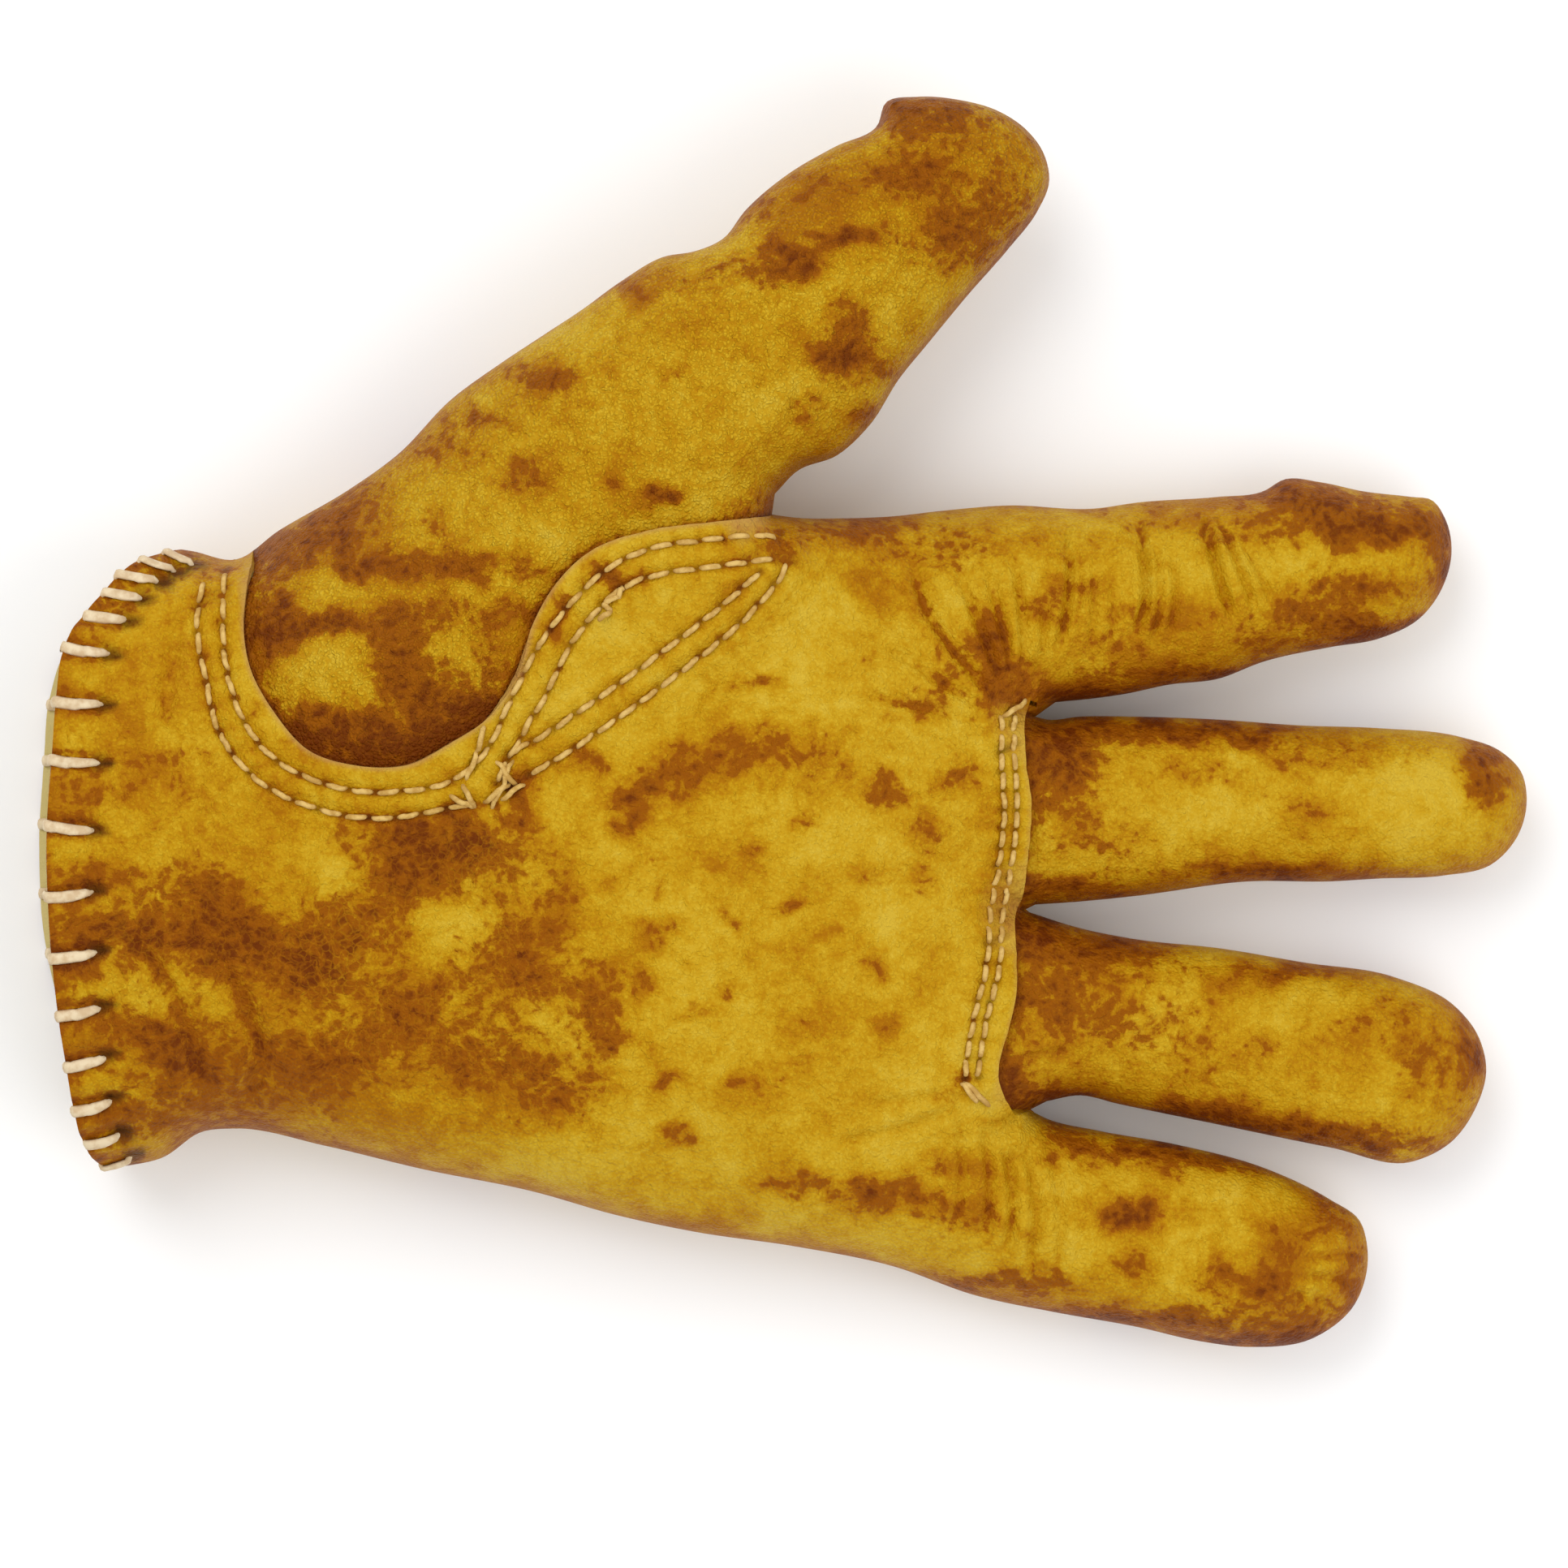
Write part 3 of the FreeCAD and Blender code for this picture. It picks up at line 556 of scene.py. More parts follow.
THUMB_PUFF = 4.0
PUFF_ALONG = 20                 # where the puff is highest along the thumb
PUFF_LENGTH = 24
PUFF_WIDTH = 18


def thumb_puff(points):
    """The thumb's leather stands out where it comes through the hole."""
    along, across = thumb_place(points)
    return THUMB_PUFF * np.exp(-((along - PUFF_ALONG) / PUFF_LENGTH) ** 2 - (across / PUFF_WIDTH) ** 2)


# ---- Lace places: where each loop leaves the hem, and the hole inside it ----

LACE_LOOPS = (                  # (where it crosses the hem, where its hole is)
    ((-106.5, 29.6), (-101.5, 27.6)), ((-110.6, 28.3), (-104.6, 26.6)),
    ((-114.6, 25.8), (-107.4, 24.8)), ((-117.6, 22.8), (-110.4, 21.9)),
    ((-120.8, 18.9), (-112.9, 18.2)), ((-123.9, 13.4), (-115.9, 12.4)),
    ((-125.3, 4), (-117.1, 3.6)), ((-126, -6), (-117.5, -6.5)), ((-126.8, -17.3), (-118.5, -18.1)),
    ((-126.7, -29.6), (-118.7, -28.6)), ((-125.9, -40.3), (-118, -39)),
    ((-124.8, -50.2), (-117.3, -48.6)), ((-123.5, -59), (-116.5, -57.2)),
    ((-122.2, -66.6), (-115.6, -64.6)), ((-120.6, -72.2), (-114.2, -70.4)),
    ((-117.2, -76), (-112.2, -74.3)))
lace_loops = [settle(loop) for loop in LACE_LOOPS]

# ---- The surface meshes ----

FRONT_PITCH = 1.05              # the distance between neighbouring points
FINE_PITCH = 0.6
BACK_PITCH = 1.7
RIM_ROUND = 12.0                # the rings of points near the outline suit this rounding
RIM_ANGLES = (11, 22, 34, 47, 60, 72)
SEAM_REACH = 3.6                # the finer pattern goes this far from the seams and creases
SMALLEST_FACE = 1e-5
SHAKE = 0.12                    # how far points move from the even pattern, against its pitch


def lattice(low, high, pitch):
    """Points of a triangular pattern over a rectangle, a little shaken."""
    rise = pitch * math.sqrt(3) / 2
    rows = np.arange(low[1], high[1], rise)
    columns = np.arange(low[0], high[0], pitch)
    x, y = np.meshgrid(columns, rows)
    x = x + (np.arange(len(rows)) % 2)[:, None] * pitch / 2
    spots = np.column_stack((x.ravel(), y.ravel()))
    return spots + chance.uniform(-SHAKE, SHAKE, spots.shape) * pitch


def rim_inset(angle):
    """How far inside the outline a rounded rim has turned by an angle."""
    return RIM_ROUND * (1 - math.cos(math.radians(angle)))


def rim_points():
    """Rings of points just inside the outline, closer together near it."""
    rings = []
    for run in runs:
        for angle in RIM_ANGLES:
            inset = rim_inset(angle)
            spots = shifted_line(run, inset)
            rings.append(spots[edge_distance(spots) > 0.96 * inset])
    return np.concatenate(rings)


def face_normals(points, faces):
    """Each triangle's normal, as long as twice its area."""
    corners = points[faces]
    return np.cross(corners[:, 1] - corners[:, 0], corners[:, 2] - corners[:, 0])


def triangulate(side, cuts, seams, pitch):
    """Triangles over the outline with edges along the cuts, finer near the seams."""
    low, high = outline.min(0), outline.max(0)
    coarse = lattice(low, high, pitch)
    groups = [coarse]
    if seams:
        fine = lattice(low, high, FINE_PITCH)
        near = np.zeros(len(fine), bool)
        near_coarse = np.zeros(len(coarse), bool)
        for line in seams:
            near |= np.abs(beside(fine, line, SEAM_REACH + 0.4)[0]) < SEAM_REACH
            near_coarse |= np.abs(beside(coarse, line, SEAM_REACH + 0.4)[0]) < SEAM_REACH
        groups = [coarse[~near_coarse], fine[near]]
    spots = np.concatenate(groups)
    spots = spots[inside(spots, outline)]
    rim = rim_points()
    spots = spots[edge_distance(spots) > rim_inset(RIM_ANGLES[-1]) + 0.4 * pitch]
    spots = np.concatenate((spots, rim[inside(rim, outline)]))
    free = np.ones(len(spots), bool)
    for line in cuts:
        free &= np.abs(beside(spots, line, 3.0)[0]) > 0.35 * pitch
    spots = spots[free]
    verts = [outline]
    edges = [(number, (number + 1) % len(outline)) for number in range(len(outline))]
    count = len(outline)
    for line in cuts:
        verts.append(line)
        edges += [(number, number + 1) for number in range(count, count + len(line) - 1)]
        count += len(line)
    verts.append(spots)
    verts = np.concatenate(verts)
    flat = [Vector(place) for place in verts.tolist()]
    points, _, faces, _, _, _ = delaunay_2d_cdt(flat, edges, [], 0, 1e-4, False)
    points = np.array([tuple(place) for place in points])
    faces = np.array([face for face in faces if len(face) == 3])
    faces = faces[inside(points[faces].mean(1), outline)
                  & (np.abs(face_normals(points, faces)) / 2 > SMALLEST_FACE)]
    turn = face_normals(points, faces)
    flip = turn < 0 if side == "front" else turn > 0
    faces[flip] = faces[flip][:, ::-1]
    return points, faces


def vertex_normals(points, faces):
    """Each point's normal, to which large faces add most."""
    normals = face_normals(points, faces)
    total = np.zeros_like(points)
    for corner in range(3):
        np.add.at(total, faces[:, corner], normals)
    return unit(total)


# Cuts where the fingers' and the thumb's pieces meet. They run on past the outline.
start_cut = even_line(((FINGER_START, -112), (FINGER_START, 46)), LINE_STEP * 2)
thumb_middle = np.array(THUMB_START) + np.array(THUMB_AXIS) * THUMB_JOIN
thumb_cut = even_line([thumb_middle + np.array(THUMB_SIDE) * aside for aside in (-26, 26)],
                      LINE_STEP * 2)

ON_OUTLINE = 0.05               # nearer than this, a point is on the outline
EDGE_SOFT = (0.5, 6.0)          # where the lumps fade in from the outline
PALM_FULLER = 0.15              # how much more the palm stands up than the fingers, as a share


def front_surface():
    """The palm side: flat places, triangles, places on the leather and edge distances."""
    cuts = [even_line(lines[name], LINE_STEP * 2) for name in ("hem", "hole", "fingers")]
    seams = [lines[name] for name in STITCH_ROWS + ("hole", "fingers")]
    cuts += [start_cut, thumb_cut]
    points, faces = triangulate("front", cuts, seams + crease_lines, FRONT_PITCH)
    gap = edge_distance(points)
    gap[gap < ON_OUTLINE] = 0
    height = half_thickness(points, gap)
    fuller = 1 + PALM_FULLER * smoothstep(45, 0, points[:, 0])
    solid = np.column_stack((points, middle_level(points) + height * fuller))
    normals = vertex_normals(solid, faces)
    inner = smoothstep(*EDGE_SOFT, gap)
    lumps = (swell_field(points) + crease_field(points) + seam_field(points)
             + pucker_field(points) + hem_field(points))
    solid += normals * (lumps * inner)[:, None]
    solid[:, 2] += thumb_puff(points) * inner
    return points, faces, solid, gap


REST_LEVEL = 0.15               # where the back flattens on the floor, and how softly
REST_SOFT = 1.6
LOWEST = 0.05
BACK_SWELL = 0.5


def back_surface():
    """The back, which lies on the floor, in the same form as the front."""
    cuts = [even_line(lines[name], LINE_STEP * 2) for name in ("hem_back", "thumb_back")]
    points, faces = triangulate("back", cuts + [start_cut, thumb_cut], (), BACK_PITCH)
    gap = edge_distance(points)
    gap[gap < ON_OUTLINE] = 0
    height = half_thickness(points, gap)
    level = middle_level(points)
    above = np.clip((level - height - REST_LEVEL) / REST_SOFT, -30, 30)
    low = REST_LEVEL + REST_SOFT * np.log1p(np.exp(above))
    low = np.where(gap > 0, low, level)
    solid = np.column_stack((points, low))
    normals = vertex_normals(solid, faces)
    lumps = BACK_SWELL * swell_field(points + 300) + gather_field(points)
    solid += normals * (lumps * smoothstep(*EDGE_SOFT, gap))[:, None]
    solid[:, 2] = np.maximum(solid[:, 2], LOWEST)
    return points, faces, solid, gap


front_flat, front_faces, front_solid, front_gap = front_surface()
back_flat, back_faces, back_solid, back_gap = back_surface()

# ---- Stains, and where the leather is worn or shaded ----

# Each stain is (x, y, half width, half height, strength).
PALM_STAINS = (
    (-82, -42, 7, 5, 1.0), (-56, -22, 10, 5, 0.9), (-65, -26, 6, 6, 0.8), (-74, -35, 7, 5, 0.8),
    (-64, -49, 8, 6, 0.7), (-78, -57, 9, 5, 0.6), (-45, -40, 7, 10, 0.75), (-32, -48, 4, 7, 0.7),
    (-39, -63, 8, 6, 0.6), (-45, -13, 2.5, 4, 1.0), (-26, -15, 4, 3, 0.8), (-9, -33, 1.5, 1.5, 0.7),
    (1, -31, 1.5, 1.5, 0.7), (-21, -36, 4, 2, 0.5), (4, -51, 5, 3, 0.35), (16, -42, 2, 2, 0.6),
    (-18, -71, 3, 2, 0.6), (2, -79, 7, 2, 0.6), (15, -80, 6, 2, 0.7), (-86, -61, 14, 8, 0.4),
    (-100, -28, 6, 4, 0.7), (-96, -37, 8, 5, 1.0), (-106, -37, 9, 3, 0.7), (-117, -35, 8, 3, 0.7),
    (-122, -42, 4, 2, 0.8), (-106, -56, 4.5, 4, 0.8), (-117, -26, 6, 2, 0.5), (-108, -7, 5, 3, 0.5),
    (-114, 2, 3, 2, 0.3), (-4, 7.5, 4, 1.5, 0.7), (-34, -6, 4, 2, 0.6), (-14, -6.5, 6, 4, 0.65),
    (-3, -4, 7, 4, 0.65), (-22, -10, 4, 3, 0.7), (-68, -19.5, 9, 3, 0.6), (-55, -19, 8, 3, 0.7),
    (-30, 26, 4, 2, 0.8), (-4, 31, 6, 2, 0.45), (-39, 19, 2, 5, 0.6), (17, -11, 3.5, 2.5, 0.8),
    (13, 13, 2, 2, 0.4), (24, 20, 2, 2, 0.4), (30, -61, 3, 3, 0.5), (20, -82, 9, 3, 0.6),
    (33, -85, 6, 3, 0.5), (29, -76, 5, 2, 0.5), (30, -9, 4, 3, 0.65), (26, -18, 4, 3, 0.6),
    (38, 6, 4, 6, 0.9), (35, 16, 3, 5, 0.8), (29, 30, 6, 4, 0.5), (13, 33, 10, 3, 0.6),
    (19, 24, 5, 4, 0.4), (45, 21, 4, 3, 0.6), (57, 13, 7, 3, 0.5), (64, 19, 10, 2, 0.5),
    (51, 6, 10, 2, 0.8), (72, 9, 12, 1.5, 0.8), (66, 35, 10, 3, 0.4), (83, 33, 8, 3, 0.45),
    (87, 40, 6, 3, 0.7), (103, 34, 12, 4, 0.95), (92, 38, 6, 3, 0.7), (100, 24, 10, 2.5, 0.6),
    (89, 19, 10, 2, 0.7), (103, 16, 10, 2, 0.9), (83, 14, 8, 2, 0.5), (114, 28, 2, 4, 0.8),
    (61, -74, 14, 1.5, 0.8), (50, -71, 5, 2, 0.6), (60, -84, 5, 3, 0.9), (75, -76, 8, 2, 0.6),
    (59, -93, 4, 2, 0.6), (80, -96, 8, 3, 0.8), (87, -90, 5, 4, 0.6), (94, -85, 3, 3, 0.7),
    (65, -102, 18, 2, 0.8), (40, -96, 10, 2, 0.8), (83, -106, 12, 1.5, 0.9), (98, -96, 2, 6, 0.8),
    (89, -102, 6, 3, 0.6), (-113, -38, 20, 22, 0.30), (-106, 8, 18, 26, 0.20), (-84, -52, 30, 14, 0.25),
    (-103, -62, 8, 5, 0.5), (-111, -68, 7, 3, 0.6), (-112, -52, 8, 2, 0.5), (-120, -12, 4, 3, 0.5),
    (28, 10, 3, 6, 0.55), (22, 3, 5, 4, 0.45), (8, -8, 6, 5, 0.35),
    (24, -28, 3, 5, 0.4), (15, -26, 3, 3, 0.4), (-24, -26, 6, 3, 0.35), (-2, -60, 5, 5, 0.3),
    (52, 24, 4, 1.5, 0.45), (44, 30, 9, 2, 0.4), (96, 23, 7, 2, 0.45), (-52, -58, 9, 5, 0.6),
    (-38, -30, 3, 6, 0.5), (-28, -55, 3, 2, 0.6), (-24, -44, 2, 3, 0.6), (-16, -50, 2, 1.5, 0.6),
    (-10, -45, 1.5, 2, 0.6), (-20, -62, 3, 1.5, 0.6), (-8, -62, 2, 1.5, 0.6), (-5, -22, 2, 1.5, 0.5),
    (2, -17, 1.5, 2, 0.5), (-12, -24, 2, 1.5, 0.5), (8, -35, 1.5, 1, 0.5), (18, -52, 2, 1.5, 0.5))
THUMB_STAINS = (
    (-67, -3, 22, 4, 1.0), (-80, -0.5, 7, 4, 0.8), (-54, 2, 7, 4, 1.0), (-88, 16, 4, 7, 0.9),
    (-78, 17, 8, 2.5, 0.9), (-66, 13, 5, 6, 0.8), (-62, 7, 5, 4, 0.8), (-54, 19, 12, 2.5, 0.6),
    (-60, 27, 18, 2.5, 0.8), (-78, 32, 8, 3, 0.8), (-73, 38, 6, 4, 0.6), (-44, 43, 4, 2.5, 0.7),
    (-20, 39.3, 4, 1.8, 0.95), (-30, 42, 1.5, 1.5, 0.7), (12, 84, 7, 2, 0.9), (2, 79.5, 5, 3, 0.9),
    (-1, 89, 10, 3, 0.5), (23, 104, 7, 4, 0.6), (19, 94, 12, 3, 0.7), (40, 97, 4, 5, 0.4),
    (33, 87, 8, 6, 0.7), (27, 83, 4, 4, 0.6), (30, 100, 7, 4, 0.35), (10.5, 70.5, 3, 3, 0.7),
    (9.7, 63.5, 6, 3.5, 0.95), (3, 55, 3, 2, 0.6), (12, 55, 3, 2, 0.6), (-9, 77, 8, 2.5, 0.6),
    (-41, 59, 7, 3, 0.7), (-51, 52, 6, 2, 0.6), (-25, 75, 7, 2, 0.5), (-19, 60, 1.5, 1.5, 0.5),
    (-60, 47, 8, 3, 0.5), (-85, 29, 8, 4, 0.5), (-72, 26, 4, 2, 0.5), (-50, 12, 4, 5, 0.5),
    (-57, 34, 6, 3, 0.4), (24, 105, 10, 3, 0.5))
FINGER_STAINS = (
    (48, -5, 6, 4, 0.8), (61, -1, 14, 2, 0.9), (78, -1.6, 10, 2, 0.7), (89, -6.5, 6, 2, 0.6),
    (71, -8, 6, 2, 0.5), (52, -15, 4, 3, 0.4), (54, -20.5, 6, 2, 0.5), (83, -25, 14, 1.5, 0.8),
    (89, -15, 5, 3, 0.5), (121, -8, 4, 6, 0.8), (103, -5, 8, 2, 0.4), (50, -28, 8, 1.5, 0.8),
    (44, -36, 4, 3, 0.9), (54, -39, 10, 2.5, 0.8), (48, -48.5, 7, 7, 0.7), (61, -51, 8, 5, 0.4),
    (40, -61, 2.5, 4, 0.9), (47, -64, 6, 2, 0.8), (75, -57, 10, 4, 0.35), (72, -67, 10, 2.5, 0.8),
    (92, -69.5, 12, 2, 0.8), (83, -43, 14, 1.5, 0.6), (103, -51, 8, 3, 0.35), (111, -58, 5, 5, 0.5),
    (103, -72, 8, 1.5, 0.8), (118, -57, 1.5, 6, 0.7), (50, -14, 8, 12, 0.2), (48, -8, 5, 6, 0.5),
    (56, -52, 14, 12, 0.15), (110, -60, 10, 12, 0.15), (92, -56, 8, 5, 0.2), (70, -49, 8, 3, 0.25),
    (66, -22, 8, 3, 0.2), (75, -12, 14, 3, 0.15))


STAIN_SHAKE = 1.3               # how far the stains' rims wander
STAIN_SPREAD = 1.25


def stain_field(points, blots):
    """How strongly each point is stained, from 0 to 1."""
    shake = np.column_stack((waves(points, 9, 21), waves(points, 9, 22)))
    spots = points + STAIN_SHAKE * shake
    clean = np.ones(len(points))
    places = settle([blot[:2] for blot in blots])
    for (x, y), (_, _, wide, tall, strength) in zip(places, blots):
        away = (((spots[:, 0] - x) / (wide * STAIN_SPREAD)) ** 2
                + ((spots[:, 1] - y) / (tall * STAIN_SPREAD)) ** 2)
        clean *= 1 - strength * np.exp(-away ** 1.2)
    return 1 - clean


def random_stains(count, low, high):
    """Blots in random places for the side that lies underneath."""
    places = chance.uniform(low, high, (count, 2))
    sizes = chance.uniform(3, 12, (count, 2))
    strength = chance.uniform(0.4, 1.0, count)
    return [(*place, *size, power) for place, size, power in zip(places, sizes, strength)]


front_stain = stain_field(front_flat, PALM_STAINS)
thumb_stain = stain_field(front_flat, THUMB_STAINS)
finger_stain = stain_field(front_flat, FINGER_STAINS)
back_stain = stain_field(back_flat, random_stains(60, (-125, -105), (125, 105)))

SHADE_REACH = 2.2
LOWER_SHADE = 0.6               # how much more painted shade the edges get where their surface faces the little finger's side, away from the key light


def shade_field(points, gap, hem):
    """Darkening at the outline and the hem: partly the leather's own browning, partly painted shade."""
    rim = np.exp(-gap / SHADE_REACH)
    edge = np.exp(-np.abs(beside(points, hem)[0]) / SHADE_REACH)
    return np.clip(np.maximum(rim, edge), 0, 1)


front_normals = vertex_normals(front_solid, front_faces)
# The side of each rim whose surface faces away from the key light gets more painted shade.
shaded_lower_side = np.clip(-front_normals[:, 1], -0.4, 1)
front_rim_dye_and_shade = shade_field(front_flat, front_gap, lines["hem"]) * (1 + LOWER_SHADE * shaded_lower_side)
back_rim_dye_and_shade = shade_field(back_flat, back_gap, lines["hem_back"])

LACE_DIRT_AND_SHADE = 0.85
CREASE_DIRT_AND_SHADE = 0.75
BANK_WEAR = 0.6


def groove_dirt_and_shade_field(points):
    """Dirt and painted shade in the seams' grooves, round the holes, beside the lace and in the
    creases, whose banks are worn.
    """
    total = np.zeros(len(points))
    for gap, beat in stitch_places(points, SEAM_FIELD_REACH):
        beat = 0.5 + 0.5 * beat
        total = np.maximum(total, (0.45 + 0.55 * beat) * bell(gap, 0.9))
        total = np.maximum(total, 0.5 * beat ** 2 * bell(gap, 2.2))
    for edge, hole in lace_loops:
        ahead, aside = lace_place(points, edge, hole)
        total = np.maximum(total, bell(np.hypot((ahead - 0.6) / 1.5, aside / 1.1), 1))
        total = np.maximum(total, under_lace(ahead) * LACE_DIRT_AND_SHADE * bell(np.abs(aside) - 1.2, 0.9))
    for gap, width, depth, ends in crease_places(points):
        strength = min(depth, 1.0) * ends
        total = np.maximum(total, CREASE_DIRT_AND_SHADE * strength * bell(gap, width))
        total -= BANK_WEAR * strength * bell(np.abs(gap) - BANK_PLACE * width, width)
    return np.clip(total, -0.7, 1.2)


def pierced_field(points):
    """Painted shadow in the mouths of the stitches' and the lace's holes."""
    total = np.zeros(len(points))
    for gap, beat in stitch_places(points, 4.0):
        beat = 0.5 + 0.5 * beat
        total = np.maximum(total, 0.7 * beat ** 5 * bell(gap, 0.6))
    for edge, hole in lace_loops:
        ahead, aside = lace_place(points, edge, hole)
        narrow = np.interp(ahead, (-1.5, 0.5, 3.2), (1.3, 1.0, 0.25))
        total = np.maximum(total, smoothstep(-2.0, -0.6, ahead) * smoothstep(3.2, 1.6, ahead)
                           * bell(aside, narrow))
    return total


CRAZED_X, CRAZED_Y = -68, -42
CRAZED_LENGTH, CRAZED_WIDTH = 42, 24
CRAZED_LEAST = 0.25


def crazed_field(points):
    """Where the dye has cracked into small scales, most of all in the palm near the wrist."""
    near_wrist = np.exp(-((points[:, 0] - CRAZED_X) / CRAZED_LENGTH) ** 2
                        - ((points[:, 1] - CRAZED_Y) / CRAZED_WIDTH) ** 2)
    return CRAZED_LEAST + (1 - CRAZED_LEAST) * near_wrist


# ---- Materials ----


def colour(red, green, blue):
    """Linear colour from the usual 0 to 255 values."""
    channel = np.array((red, green, blue)) / 255
    linear = np.where(channel <= 0.04045, channel / 12.92, ((channel + 0.055) / 1.055) ** 2.4)
    return (*linear.tolist(), 1.0)


MIX_SHARE, MIX_FIRST, MIX_SECOND = 0, 6, 7      # the colour mix node's inputs
MIX_RESULT = 2


class Maker:
    """Short calls for building a material's nodes."""

    def __init__(self, name):
        self.material = bpy.data.materials.new(name)
        self.material.use_nodes = True
        self.tree = self.material.node_tree
        self.shader = self.tree.nodes["Principled BSDF"]

    def node(self, kind, **values):
        made = self.tree.nodes.new(kind)
        for key, value in values.items():
            setattr(made, key, value)
        return made

    def link(self, start, end):
        self.tree.links.new(start, end)
        return end

    def feed(self, socket, value):
        """Links a node's output to the socket, or sets the socket to a plain value."""
        if isinstance(value, bpy.types.NodeSocket):
            self.link(value, socket)
        else:
            socket.default_value = value

    def maths(self, operation, first, second):
        made = self.node("ShaderNodeMath", operation=operation)
        self.feed(made.inputs[0], first)
        self.feed(made.inputs[1], second)
        return made.outputs[0]

    def noise(self, where, scale, detail, rough):
        """Soft noise from 0 to 1."""
        made = self.node("ShaderNodeTexNoise")
        self.link(where, made.inputs["Vector"])
        made.inputs["Scale"].default_value = scale
        made.inputs["Detail"].default_value = detail
        made.inputs["Roughness"].default_value = rough
        return made.outputs["Fac"]

    def cells(self, where, scale):
        """The distance from the nearest of many scattered points."""
        made = self.node("ShaderNodeTexVoronoi", feature="F1")
        self.link(where, made.inputs["Vector"])
        made.inputs["Scale"].default_value = scale
        return made.outputs["Distance"]

    def shake(self, where, scale, reach):
        """The same place moved a little by noise, so that patterns look ragged."""
        made = self.node("ShaderNodeTexNoise")
        self.link(where, made.inputs["Vector"])
        made.inputs["Scale"].default_value = scale
        middle = self.node("ShaderNodeVectorMath", operation="SUBTRACT")
        self.link(made.outputs["Color"], middle.inputs[0])
        middle.inputs[1].default_value = (0.5, 0.5, 0.5)
        moved = self.node("ShaderNodeVectorMath", operation="MULTIPLY_ADD")
        self.link(middle.outputs[0], moved.inputs[0])
        moved.inputs[1].default_value = (2 * reach,) * 3
        self.link(where, moved.inputs[2])
        return moved.outputs[0]

    def scales(self, where, scale):
        """A random value for each cell, and the distance from the cell's edge."""
        tone = self.node("ShaderNodeTexVoronoi", feature="F1")
        border = self.node("ShaderNodeTexVoronoi", feature="DISTANCE_TO_EDGE")
        for made in (tone, border):
            self.link(where, made.inputs["Vector"])
            made.inputs["Scale"].default_value = scale
        return self.maths("SUBTRACT", tone.outputs["Color"], 0.5), border.outputs["Distance"]

    def total(self, *terms):
        """A weighted sum of (value, weight) pairs."""
        result = None
        for value, weight in terms:
            part = self.maths("MULTIPLY", value, weight)
            result = part if result is None else self.maths("ADD", result, part)
        return result

    def ramp(self, value, stops):
        """A colour for the value, from (place, colour) stops."""
        made = self.node("ShaderNodeValToRGB")
        self.feed(made.inputs[0], value)
        marks = made.color_ramp.elements
        marks[0].position, marks[0].color = stops[0]
        marks[1].position, marks[1].color = stops[-1]
        for place, tint in stops[1:-1]:
            marks.new(place).color = tint
        return made.outputs["Color"]

    def mix(self, share, first, second):
        made = self.node("ShaderNodeMix", data_type="RGBA")
        self.feed(made.inputs[MIX_SHARE], share)
        self.feed(made.inputs[MIX_FIRST], first)
        self.feed(made.inputs[MIX_SECOND], second)
        return made.outputs[MIX_RESULT]

    def span(self, value, low, high, to_low=0.0, to_high=1.0):
        """A smooth change from to_low to to_high as the value goes from low to high."""
        made = self.node("ShaderNodeMapRange", interpolation_type="SMOOTHSTEP")
        self.feed(made.inputs["Value"], value)
        made.inputs["From Min"].default_value = low
        made.inputs["From Max"].default_value = high
        made.inputs["To Min"].default_value = to_low
        made.inputs["To Max"].default_value = to_high
        return made.outputs["Result"]

    def bump(self, height, strength, distance, before=None):
        made = self.node("ShaderNodeBump")
        self.link(height, made.inputs["Height"])
        made.inputs["Strength"].default_value = strength
        made.inputs["Distance"].default_value = distance
        if before:
            self.link(before, made.inputs["Normal"])
        return made.outputs["Normal"]

    def place(self):
        return self.node("ShaderNodeTexCoord").outputs["Object"]

    def reading(self, name):
        """A number stored with the mesh's points."""
        return self.node("ShaderNodeAttribute", attribute_name=name).outputs["Fac"]


PER_MM = 1 / MM
READINGS = ("stain", "edge", "groove", "raw", "plain", "crazed", "coarse", "pierced")


